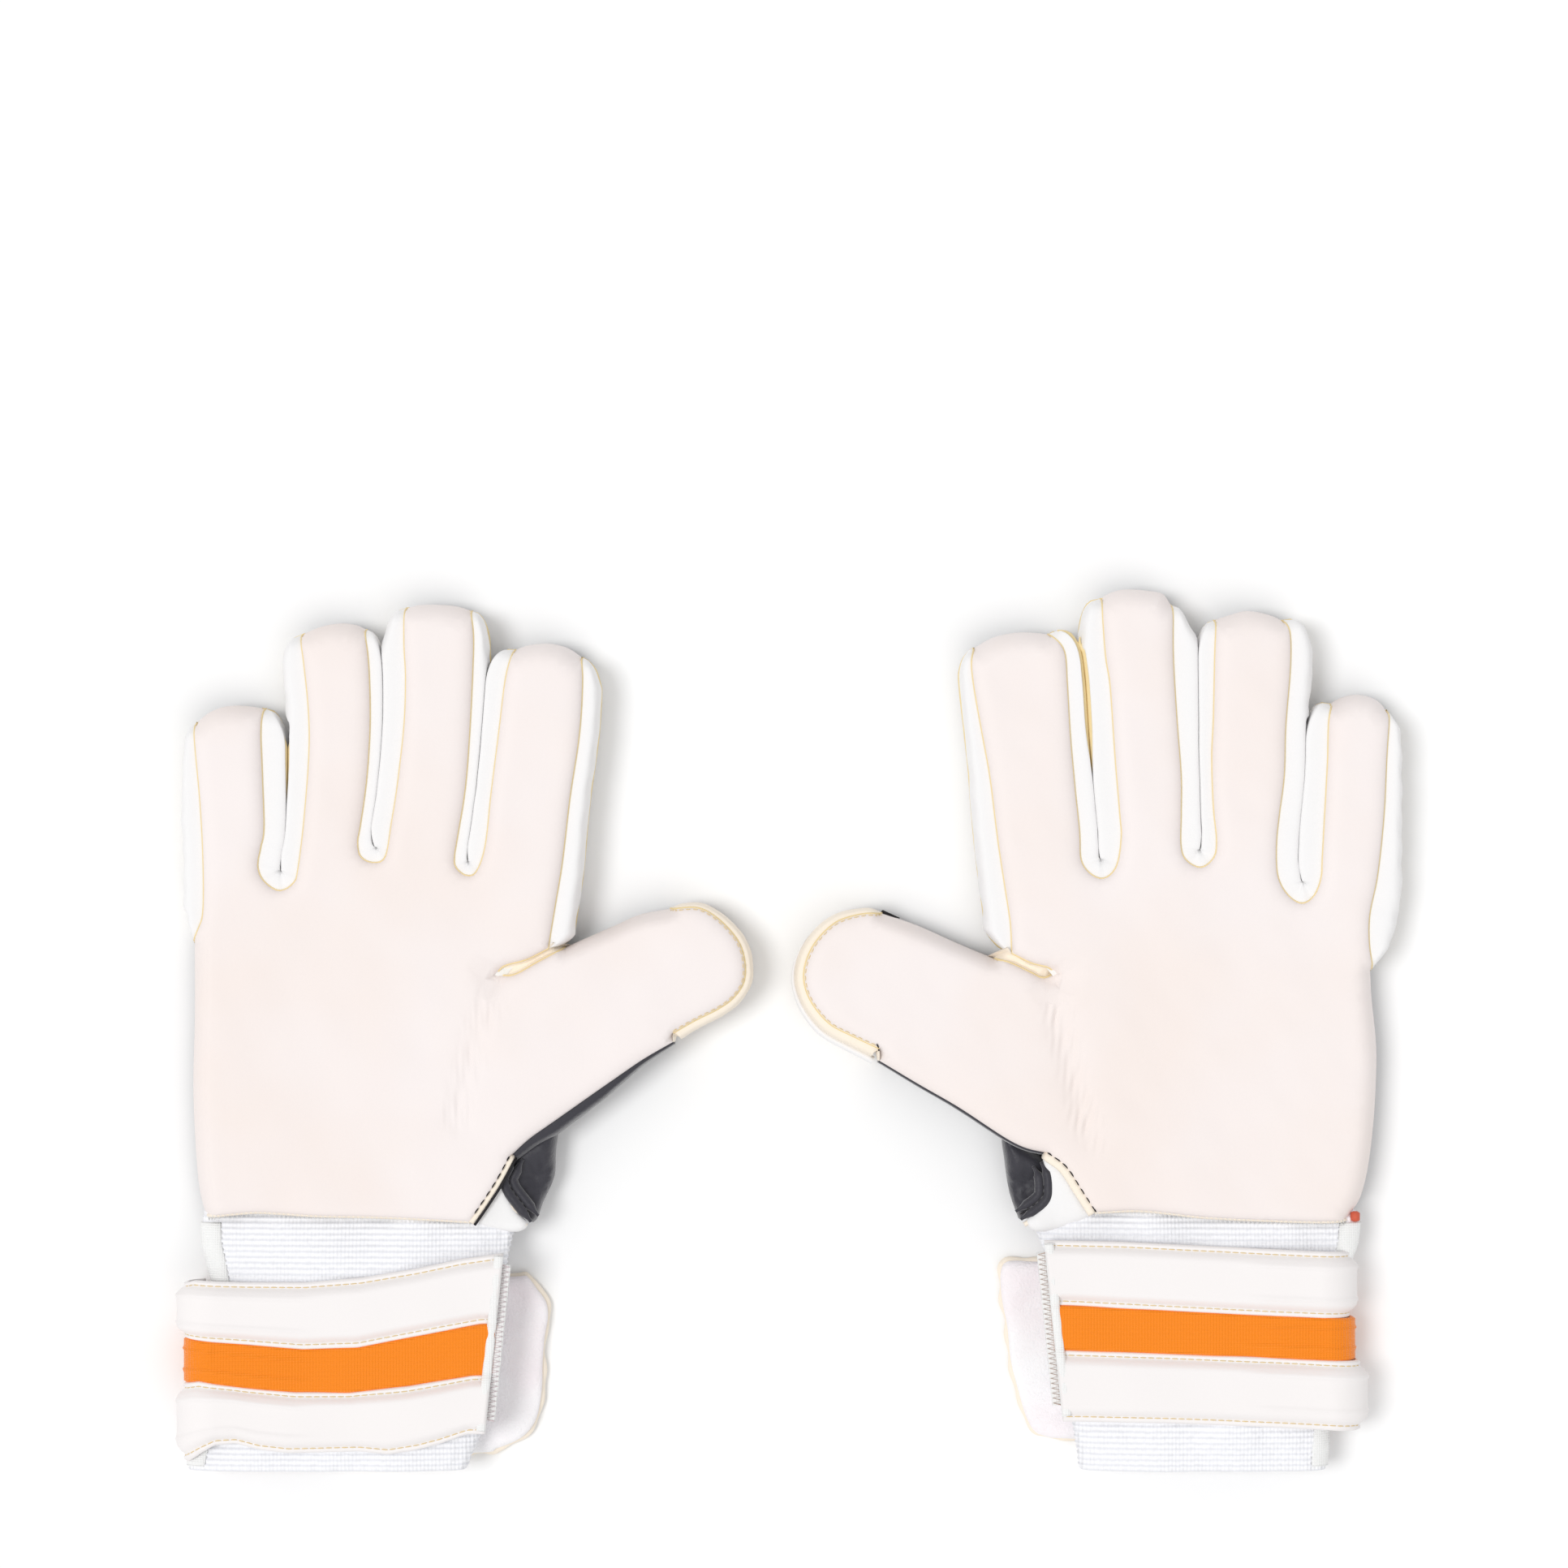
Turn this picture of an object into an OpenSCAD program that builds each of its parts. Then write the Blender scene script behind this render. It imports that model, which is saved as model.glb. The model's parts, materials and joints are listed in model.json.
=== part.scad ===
// A pair of goalkeeper gloves lying palm up, fingers along +Y, thumbs towards each other.
// The frame stands on the surface the gloves lie on, at the middle of the pair.
// Every glove is drawn in its own frame: the origin is the middle of the wrist edge, +X runs
// towards the thumb and +Y towards the fingertips. The left glove is mirrored into place.

/* [Pair] */
// Wrist middle of the right glove, across and along
right_wrist = [-141.8, -60.6]; // [-200:0.1:-100]
// Wrist middle of the left glove, across and along
left_wrist = [136.4, -60.6]; // [-100:0.1:200]

/* [Layers] */
// Thickness of the foam on the back of the hand
back_foam = 4; // [3:0.5:5]
// Height of the space that the hand goes into
hand_space = 13; // [12:0.5:16]
// Thickness of the fabric lining under the palm
lining = 1; // [0.8:0.1:1.5]
// Thickness of the latex foam on the palm
palm_foam = 4; // [3:0.5:5]
// Wall of the finger gussets
gusset_wall = 2.5; // [2:0.1:3]

/* [Right glove fingers, little finger to index] */
// Places of the bends across the hand
right_knuckle_x = [-36.5, -4.9, 25.9, 59.3]; // [-60:0.1:70]
// Places of the bends along the hand
right_knuckle_y = [118, 127, 127, 123]; // [100:0.1:135]
// Lean of each finger towards the thumb, in degrees
right_lean = [0, 1.1, 3.7, 5.4]; // [-3:0.1:8]
// Length of each finger from its bend
right_length = [46, 64, 70, 61.6]; // [35:0.1:90]
// Width of each finger over its gussets
right_width = [30.4, 30, 30, 34.6]; // [26:0.1:40]
// Width of the latex strip on each finger
right_strip = [19.6, 20, 21, 25]; // [16:0.1:30]
// How far each gap between two fingers reaches down
right_gap_y = [105.6, 114.2, 110.2]; // [98:0.1:120]

/* [Left glove fingers, little finger to index] */
// Places of the bends across the hand
left_knuckle_x = [-44, -11.9, 21.2, 57]; // [-60:0.1:70]
// Places of the bends along the hand
left_knuckle_y = [115, 125.5, 125.5, 122]; // [100:0.1:135]
// Lean of each finger towards the thumb, in degrees
left_lean = [-0.5, 0, 4, 5.2]; // [-3:0.1:8]
// Length of each finger from its bend
left_length = [52.7, 69.5, 76.4, 66.2]; // [35:0.1:90]
// Width of each finger over its gussets
left_width = [30.8, 32.2, 32.4, 37.8]; // [26:0.1:40]
// Width of the latex strip on each finger
left_strip = [19.4, 22, 20.5, 27]; // [16:0.1:30]
// How far each gap between two fingers reaches down
left_gap_y = [102, 112.4, 110]; // [98:0.1:120]

/* [Thumbs, right then left] */
// Middle of the round thumb tip, across
thumb_tip_x = [109.5, 112.5]; // [100:0.1:120]
// Middle of the round thumb tip, along
thumb_tip_y = [80, 77.8]; // [70:0.1:90]
// Radius of the thumb tip
thumb_tip_r = [20.8, 21.7]; // [18:0.1:24]

/* [Wrist, right then left] */
// Upper edge of the strap, along the glove
strap_top = [-18, -12]; // [-20:0.5:-10]
// Length of the knitted wristband
wristband_length = [79.5, 78.5]; // [70:0.5:85]
// Width of the strap's elastic middle
elastic_w = 15.5; // [12:0.5:20]
// Width of each foam band beside the elastic
band_w = 19.5; // [18:0.5:24]
// Width of the closure tab, along the glove
closure_w = 57; // [50:0.5:60]

/* [Hidden] */
$fn = 48;
SIDES = ["right_", "left_"];
FINGERS = ["little", "ring", "middle", "index"];
HAND_PIECES = ["palm_foam", "palm_lining", "back_panel", "crotch_gussets", "side_gussets", "thumb_gore",
    "wrist_notch", "wristband", "wristband_tape", "strap_elastic", "strap_bands", "loop_patch",
    "closure_elastic", "closure_pad", "closure_hook", "thumb_front", "thumb_back", "thumb_gusset"];
FINGER_PIECES = ["front", "back", "gussets"];

wrist = [right_wrist, left_wrist];
knuckle_x = [right_knuckle_x, left_knuckle_x];
knuckle_y = [right_knuckle_y, left_knuckle_y];
lean = [right_lean, left_lean];
finger_length = [right_length, left_length];
finger_width = [right_width, left_width];
strip_width = [right_strip, left_strip];
gap_y = [right_gap_y, left_gap_y];

// Heights above the surface
lining_z = back_foam + hand_space;
foam_z = lining_z + lining;
top_z = foam_z + palm_foam;
gusset_lo = 2;
gusset_hi = top_z - 2;

bend_gap = 3;         // from a bend's line to the foam on each side of it
touch = 0.05;         // between pieces of one body
turn_hole = 1.2;      // radius of the fold between two fingers
tip_roundness = 0.45; // depth of a fingertip's arc as a share of its width
tip_wall_part = 0.75; // where the foam starts to turn down, as a share of the finger's length
rim_t = 3.5;          // foam that turns down at a fingertip or a side
seam_x = 46.5;        // the palm foam's seam beside the little finger
wrist_edge = -1;      // where the hand ends and the wristband starts

// Outer edge of the palm, from the wrist to the end of the little finger's gusset
palm_side = [
    [[-47, -1], [-49.5, 18], [-50, 42], [-49.5, 66], [-46.5, 84]],
    [[-46, -1], [-51, 17], [-53.5, 45], [-52, 66], [-50.5, 80]]];
// Thumb's lower edge where it leaves the palm, and its upper edge at the notch and beside the index finger
thumb_low = [[53, 20.5], [55.5, 21]];
notch = [[50.5, 80.8], [50.5, 80.2]];
thumb_top = [[73.5, 86.9], [72, 84.6]];
thumb_angle = 29;     // the way the thumb points, from straight across
thumb_bend_at = 35;   // from thumb_low to the bend, along the thumb's lower edge
bend_top = 1.8;       // from the notch up to the bend's other end
index_side = [[65.5, 86.5], [65, 86]];
wrist_thumb = [38.5, wrist_edge];

// Points on a smooth curve through p, with n steps to a span
function smooth(p, n = 4) = [for (i = [0 : len(p) - 2], k = [0 : n - 1]) let (
    a = p[max(i - 1, 0)], b = p[i], c = p[i + 1], d = p[min(i + 2, len(p) - 1)], t = k / n)
    0.5 * (2 * b + (c - a) * t + (2 * a - 5 * b + 4 * c - d) * t * t + (3 * b - a - 3 * c + d) * t * t * t),
    p[len(p) - 1]];
function reversed(p) = [for (i = [len(p) - 1 : -1 : 0]) p[i]];
function shifted(p, by) = [for (q = p) q + by];
function arc(centre, r, from, to, n = 16) = [for (i = [0 : n])
    let (a = from + (to - from) * i / n) centre + r * [cos(a), sin(a)]];
function unit(v) = v / norm(v);
function left_of(v) = [-v[1], v[0]];

// A finger's own point (across, along from its knuckle) in its glove's frame
function on_finger(s, f, across, along) =
    [knuckle_x[s][f], knuckle_y[s][f]]
    + across * [cos(lean[s][f]), -sin(lean[s][f])] + along * [sin(lean[s][f]), cos(lean[s][f])];

// The thumb's lower edge: its end at the round tip, its way, and the ends of the thumb's bend line
thumb_way = [cos(thumb_angle), sin(thumb_angle)];
function lower_tip(s) = [thumb_tip_x[s], thumb_tip_y[s]] + thumb_tip_r[s] * [cos(-56), sin(-56)];
function lower_way(s) = unit(lower_tip(s) - thumb_low[s]);
function bend_low(s) = thumb_low[s] + thumb_bend_at * lower_way(s);
function bend_high(s) = bend_low(s)
    + (notch[s][1] + bend_top - bend_low(s)[1]) / cos(thumb_angle) * left_of(thumb_way);

// The turn between fingers f and f + 1: [middle across, middle along, radius]
function turn(s, f) =
    let (
        from = on_finger(s, f, strip_width[s][f] / 2, gap_y[s][f] + 5 - knuckle_y[s][f])[0],
        to = on_finger(s, f + 1, -strip_width[s][f + 1] / 2, gap_y[s][f] + 5 - knuckle_y[s][f + 1])[0],
        r = (to - from) / 2)
    [(from + to) / 2, gap_y[s][f] + r, r];

// The line down one finger's root, round the turn and up the next finger's root, inset from the foam's edge
function turn_edge(s, f, inset, end = -bend_gap) =
    let (c = turn(s, f))
    concat([on_finger(s, f, strip_width[s][f] / 2 + inset, end)],
        arc([c[0], c[1]], c[2] - inset, 180, 360),
        [on_finger(s, f + 1, -strip_width[s][f + 1] / 2 - inset, end)]);

module in_glove(s) {
    translate([wrist[s][0], wrist[s][1], 0])
        if (s == 0) children(); else mirror([1, 0, 0]) children();
}

module at_finger(s, f) {
    in_glove(s) translate([knuckle_x[s][f], knuckle_y[s][f], 0]) rotate([0, 0, -lean[s][f]]) children();
}

module slab(z, t) {
    translate([0, 0, z]) linear_extrude(t) children();
}

// ---- fingers ----

// Plan of a finger from its bend on, pulled in by inset
module finger_plan(s, f, start, inset = 0) {
    half = finger_width[s][f] / 2 - inset;
    depth = tip_roundness * finger_width[s][f];
    shoulder = finger_length[s][f] - depth;
    polygon(concat([[-half, start], [half, start]],
        [for (a = [0 : 10 : 180]) [half * cos(a), shoulder + (depth - inset) * sin(a)]]));
}

module strip_band(s, f) {
    translate([-strip_width[s][f] / 2, 0]) square([strip_width[s][f], 2 * finger_length[s][f]]);
}

module finger_front(s, f) {
    color("seashell") at_finger(s, f) {
        slab(foam_z, palm_foam) intersection() {
            finger_plan(s, f, bend_gap);
            strip_band(s, f);
        }
        slab(back_foam + touch, foam_z - back_foam) intersection() {
            difference() {
                finger_plan(s, f, tip_wall_part * finger_length[s][f]);
                finger_plan(s, f, 0, rim_t);
            }
            strip_band(s, f);
        }
    }
}

module finger_back(s, f) {
    color("dimgray") at_finger(s, f) slab(0, back_foam) intersection() {
        finger_plan(s, f, bend_gap);
        strip_band(s, f);
    }
}

module finger_gusset(s, f, side) {
    height = gusset_hi - gusset_lo;
    difference() {
        slab(gusset_lo, height) intersection() {
            finger_plan(s, f, bend_gap);
            mirror([side < 0 ? 1 : 0, 0]) translate([strip_width[s][f] / 2 + touch, 0])
                square([finger_width[s][f], 2 * finger_length[s][f]]);
        }
        slab(gusset_lo + gusset_wall, height - 2 * gusset_wall) finger_plan(s, f, -1, gusset_wall);
    }
}

module finger_gussets(s, f) {
    color("white") at_finger(s, f) for (side = [-1, 1]) finger_gusset(s, f, side);
}

// ---- hand ----

// Plan of the palm with the roots of the fingers and of the thumb, up to their bends
function palm_points(s) = concat(
    smooth(palm_side[s]),
    [[min(-seam_x, on_finger(s, 0, -strip_width[s][0] / 2, 0)[0]), palm_side[s][4][1] + 2],
     on_finger(s, 0, -strip_width[s][0] / 2, -bend_gap)],
    [for (gap = [0 : 2]) each turn_edge(s, gap, 0)],
    [on_finger(s, 3, strip_width[s][3] / 2, -bend_gap),
     index_side[s], notch[s] + [0, 0.8], notch[s] - [0, 0.2], bend_high(s) - bend_gap * thumb_way,
     bend_low(s) - bend_gap * thumb_way, thumb_low[s], wrist_thumb]);

module palm_foam_piece(s) {
    side = smooth(palm_side[s]);
    color("seashell") in_glove(s) {
        slab(foam_z, palm_foam) polygon(palm_points(s));
        slab(back_foam + touch, foam_z - back_foam)
            polygon(concat(side, reversed(shifted(side, [rim_t, 0]))));
    }
}

module palm_lining_piece(s) {
    side = shifted(smooth(palm_side[s]), [rim_t + 2 * touch, 0]);
    color("whitesmoke") in_glove(s) slab(lining_z, lining - touch) polygon(concat(side,
        [for (f = [0 : 3]) [knuckle_x[s][f], gap_y[s][min(f, 2)] - 2 * bend_gap]],
        [index_side[s] - [4, 1], notch[s] - [1, 1], bend_high(s) - 2 * bend_gap * thumb_way,
         bend_low(s) - 2 * bend_gap * thumb_way + 4 * left_of(lower_way(s)),
         thumb_low[s] - [7, 0], wrist_thumb]));
}

module back_panel(s) {
    color("dimgray") in_glove(s) slab(0, back_foam) polygon(palm_points(s));
}

// A gusset's C-shaped wall along the edge from a to b, bulging to the right of that way
module edge_gusset(a, b, depth) {
    along = b - a;
    translate([a[0], a[1], 0]) rotate([0, 0, atan2(along[1], along[0])]) difference() {
        translate([0, -depth, back_foam + touch]) cube([norm(along), depth, foam_z - back_foam - 2 * touch]);
        translate([-1, -depth + gusset_wall, back_foam + gusset_wall])
            cube([norm(along) + 2, depth, foam_z - back_foam - 2 * gusset_wall]);
    }
}

// The hollow turn between fingers f and f + 1, with a leg along each finger's root
module crotch_gusset(s, f) {
    middle = turn(s, f)[2];
    height = foam_z - back_foam - 2 * touch;
    end = 1 - bend_gap;
    difference() {
        slab(back_foam + touch, height)
            polygon(concat(turn_edge(s, f, touch), reversed(turn_edge(s, f, middle - turn_hole))));
        slab(back_foam + gusset_wall, height - 2 * gusset_wall) polygon(concat(
            [on_finger(s, f, strip_width[s][f] / 2 + middle, end)],
            turn_edge(s, f, gusset_wall, end),
            [on_finger(s, f + 1, -strip_width[s][f + 1] / 2 - middle, end)]));
    }
}

module crotch_gussets(s) {
    color("white") in_glove(s) for (f = [0 : 2]) crotch_gusset(s, f);
}

module side_gussets(s) {
    little_top = on_finger(s, 0, -strip_width[s][0] / 2 - touch, -bend_gap);
    index_top = on_finger(s, 3, strip_width[s][3] / 2 + touch, -bend_gap);
    color("white") in_glove(s) {
        edge_gusset(little_top, [little_top[0], palm_side[s][4][1] + 2.5], 5);
        edge_gusset(index_side[s] + [0.5, 5], index_top, 4);
    }
}

module thumb_gore(s) {
    x = thumb_low[s][0];
    edge = bend_low(s) - (bend_gap + 1) * thumb_way;
    inward = 3.2 * left_of(lower_way(s));
    color("dimgray") in_glove(s) slab(back_foam + touch, foam_z - back_foam - 2 * touch)
        polygon([[x - 5.5, 0], [x + 1.5, -0.8], [x + 8, 1.5], [x + 12, 8.5], [x + 12.5, 18],
            thumb_low[s] + 15 * lower_way(s), edge, edge + inward, thumb_low[s] + 4 * lower_way(s) + inward,
            [x - 2, 18], [x - 5, 11.5]]);
}

module wrist_notch(s) {
    x = thumb_low[s][0];
    color("white") in_glove(s) slab(foam_z - 3.5, 2.4)
        polygon([wrist_thumb + [1, 0.1], [x - 10, 8], [x - 6, 12], [x - 6, 0.1]]);
}

// ---- wrist ----

band_z = 5.2;       // underside of the knitted wristband
band_h = 18;
band_wall = 2;
band_x = [[-43, 50], [-43, 52]];
tape_t = 1;
elastic_t = 2.2;
foam_band_t = 4;
front_z = band_z + band_h + touch;          // underside of the strap's front
turn_z = front_z + foam_band_t / 2 - 11;    // middle of the strap's turn at the little finger's side
turn_r = front_z - turn_z;                  // its inner radius
strap_x = [[-41.6, 46.5], [-36.6, 48.5]];     // start of the turn, and the sewn end
loop_t = 1.2;
closure_t = [2.3, 1.3];                     // outer pad, then the hook sheet on it
closure_x = [[-48, -8, 63.5], [-44, -4, 67]];
closure_corner = 13;
strap_length = 2 * band_w + elastic_w;

// A flattened tube along -Y, as wide as x[0] to x[1] and h high
module flat_tube(x, h, length, inset) {
    r = h / 2 - inset;
    rotate([90, 0, 0]) linear_extrude(length) {
        for (q = [x[0] + h / 2, x[1] - h / 2]) translate([q, h / 2]) circle(r);
        translate([x[0] + h / 2, inset]) square([x[1] - x[0] - h, 2 * r]);
    }
}

module wristband(s) {
    color("ghostwhite") in_glove(s) translate([0, wrist_edge, band_z]) difference() {
        flat_tube(band_x[s], band_h, wristband_length[s], 0);
        translate([0, 1, 0]) flat_tube(band_x[s], band_h, wristband_length[s] + 2, band_wall);
    }
}

module wristband_tape(s) {
    color("white") in_glove(s)
        translate([band_x[s][0] - tape_t - touch, wrist_edge - wristband_length[s], band_z + band_h / 2 - 4])
            cube([tape_t, wristband_length[s], 8]);
}

// A band across the front of the wrist that turns round the little finger's side
module strap_band(s, from_y, width, t) {
    x = strap_x[s];
    translate([x[0], from_y, front_z]) cube([x[1] - x[0], width, t]);
    translate([x[0], from_y + width, turn_z]) rotate([90, 0, 0]) linear_extrude(width) difference() {
        circle(turn_r + t);
        circle(turn_r);
        translate([0, -front_z]) square([front_z, 2 * front_z]);
        translate([-front_z, -2 * front_z + band_z + 1 - turn_z]) square([2 * front_z, 2 * front_z]);
    }
}

module strap_elastic(s) {
    color("darkorange") in_glove(s)
        strap_band(s, strap_top[s] - band_w - elastic_w + touch, elastic_w - 2 * touch, elastic_t);
}

module strap_bands(s) {
    color("floralwhite") in_glove(s) for (from_y = [strap_top[s] - band_w, strap_top[s] - strap_length])
        strap_band(s, from_y, band_w, foam_band_t);
}

module loop_patch(s) {
    color("snow") in_glove(s) translate([-2, strap_top[s] - strap_length + 4, band_z - loop_t])
        cube([36, strap_length - 8, loop_t - touch]);
}

module closure_plan(s) {
    x = closure_x[s];
    top = strap_top[s] - 2;
    low = top - closure_w;
    r = closure_corner;
    polygon(concat([[x[1], low]], arc([x[2] - r, low + r], r, -90, 0, 8),
        arc([x[2] - r, top - r], r, 0, 90, 8), [[x[1], top]]));
}

module closure_elastic(s) {
    x = closure_x[s];
    color("darkorange") in_glove(s) translate([x[0], strap_top[s] - strap_length, 0])
        cube([x[1] - x[0] - touch, strap_length, closure_t[0] + closure_t[1]]);
}

module closure_pad(s) {
    color("dimgray") in_glove(s) slab(0, closure_t[0]) closure_plan(s);
}

module closure_hook(s) {
    color("white") in_glove(s) slab(closure_t[0] + touch, closure_t[1]) closure_plan(s);
}

// ---- thumb ----

tip_low_angle = -55;
tip_top_angle = 114;

// Plan of the thumb beyond its bend, pulled in by inset
function thumb_points(s, inset = 0) =
    let (
        centre = [thumb_tip_x[s], thumb_tip_y[s]],
        up = unit(centre + thumb_tip_r[s] * [cos(tip_top_angle), sin(tip_top_angle)] - thumb_top[s]))
    concat([bend_low(s) + bend_gap * thumb_way + inset * left_of(lower_way(s))],
        arc(centre, thumb_tip_r[s] - inset, tip_low_angle, tip_top_angle, 20),
        [thumb_top[s] - inset * left_of(up), bend_high(s) + bend_gap * thumb_way - [0, inset]]);

module thumb_front(s) {
    centre = [thumb_tip_x[s], thumb_tip_y[s]];
    color("seashell") in_glove(s) {
        slab(foam_z, palm_foam) polygon(thumb_points(s));
        slab(back_foam + touch, foam_z - back_foam) difference() {
            polygon(concat([thumb_top[s]], reversed(arc(centre, thumb_tip_r[s], tip_low_angle + 1,
                tip_top_angle, 20)), [centre + [0, -8], centre + [-12, 0]]));
            polygon(thumb_points(s, rim_t));
        }
    }
}

module thumb_back(s) {
    color("dimgray") in_glove(s) slab(0, back_foam) polygon(thumb_points(s));
}

module thumb_gusset(s) {
    way = lower_way(s);
    start = bend_low(s) + (bend_gap + 1) * thumb_way;
    tip = lower_tip(s) - 2 * way;
    color("dimgray") in_glove(s) slab(back_foam + touch, foam_z - back_foam - 2 * touch)
        polygon([start, tip, tip + 3.2 * left_of(way), start + 3.2 * left_of(way)]);
}

// ---- what is drawn ----

module finger_piece(s, f, piece) {
    if (piece == "front") finger_front(s, f);
    if (piece == "back") finger_back(s, f);
    if (piece == "gussets") finger_gussets(s, f);
}

for (s = [0, 1]) {
    palm_foam_piece(s);
    palm_lining_piece(s);
    back_panel(s);
    crotch_gussets(s);
    side_gussets(s);
    thumb_gore(s);
    wrist_notch(s);
    wristband(s);
    wristband_tape(s);
    strap_elastic(s);
    strap_bands(s);
    loop_patch(s);
    closure_elastic(s);
    closure_pad(s);
    closure_hook(s);
    thumb_front(s);
    thumb_back(s);
    thumb_gusset(s);
    for (f = [0 : 3], piece = FINGER_PIECES)
        finger_piece(s, f, piece);
}
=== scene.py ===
"""The looks of a pair of goalkeeper gloves, lying palm up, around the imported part. Lengths are in
millimetres in each glove's own frame (x towards the thumb, y towards the fingertips, z up) until a
mesh is made, and in metres after that."""

import json
import math

import bpy
import numpy as np
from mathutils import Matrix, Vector
from mathutils.geometry import delaunay_2d_cdt


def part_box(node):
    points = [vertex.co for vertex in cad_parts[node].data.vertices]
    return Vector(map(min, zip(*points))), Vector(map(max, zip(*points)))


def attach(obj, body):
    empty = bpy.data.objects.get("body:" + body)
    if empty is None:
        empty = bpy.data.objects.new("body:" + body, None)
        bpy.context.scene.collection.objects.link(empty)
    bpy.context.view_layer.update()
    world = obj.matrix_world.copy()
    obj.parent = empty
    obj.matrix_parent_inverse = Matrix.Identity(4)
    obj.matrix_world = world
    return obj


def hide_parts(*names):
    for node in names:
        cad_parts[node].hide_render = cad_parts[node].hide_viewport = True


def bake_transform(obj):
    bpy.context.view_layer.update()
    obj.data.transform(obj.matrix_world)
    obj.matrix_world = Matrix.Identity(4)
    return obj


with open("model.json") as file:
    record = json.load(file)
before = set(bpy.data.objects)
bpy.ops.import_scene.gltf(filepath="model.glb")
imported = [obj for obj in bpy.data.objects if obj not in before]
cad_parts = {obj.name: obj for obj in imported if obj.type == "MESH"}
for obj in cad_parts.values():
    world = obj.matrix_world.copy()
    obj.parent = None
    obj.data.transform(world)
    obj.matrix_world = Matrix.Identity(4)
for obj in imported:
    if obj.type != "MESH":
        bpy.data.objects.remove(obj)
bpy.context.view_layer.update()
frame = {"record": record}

SIDES = {"right": 1, "left": -1}     # and which way the thumb points along the pair's x
FINGERS = ("little", "ring", "middle", "index")
THUMB = 4
HAND = -1
BAND_LEFT = 43.0        # from the glove's origin to the wristband's little finger side
BAND_TOP = -1.0         # where the wristband starts
FRONT_Z = 23.3          # underside of the strap's front
STRAP_RADIUS = 9.0      # inner radius of the strap's turn round the wrist
STRAP_FLAT = 84         # points along a band's flat stretch
STRAP_TURN = 26         # points along its turn
STRAP_COLUMNS = 41      # points across a padded band
HINGE_CLEARANCE = 2.2   # from the closure's hinge to its elastic
KNIT_RIB = 1.8          # from one rib of the wristband to the next
KNIT_CELLS = 74         # knitted cells round the wristband
KNIT_COLUMNS = 220      # points round the wristband
BLEND_REACH = 7.0       # a finger's pieces start this far before its joint
BACK_CROWN = .3         # height of the back's middle above the ground
PALM_CROWN = 22.0       # height of the front's middle at the palm
FINGER_RISE = 1.4       # how much higher the fingers' fronts are
SQUEEZE = 1.35          # how much wider a roll between two fingers would be with nothing beside it
PUCKER_DEPTH = .5
PUCKER_SPACING = 2.3
TUCK_DEPTH = 1.1        # how far the notch beside the thumb folds in
OPENED_Z = 17.5         # height of the foam edge that shows where two fingers part
OPENING_RISE = 22.0     # length over which two fingers part
FLOOR_Z = -.0004        # the floor, in metres, a little under the gloves
GUSSET_COLUMNS = 19     # points across a finger's gusset
EDGE_COLUMNS = 13       # points across the thumb's wrap and dark wall

# ---- the gloves' shapes ------------------------------------------------------------------------

# The outline runs round each glove: side, outer, tips and gaps by turns, inner, the two edges of the dart,
# thumb_top, thumb_tip, thumb_low, notch and wrist. Tips, gaps and pairs go from the little finger on.
# outer_bulge and inner_bulge give (y, how far the side gusset stands out); gap_bulge gives the same for the
# two sides of a gap above its neighbour, and gap_share the first side's share of it. gap_open says for a gap
# (where it opens, how wide, where its foam edge ends). The widths go along the thumb's edge by share of its
# length. band_x gives (y, low x, high x) of the wristband, and strap the edges of its two bands.

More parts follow.
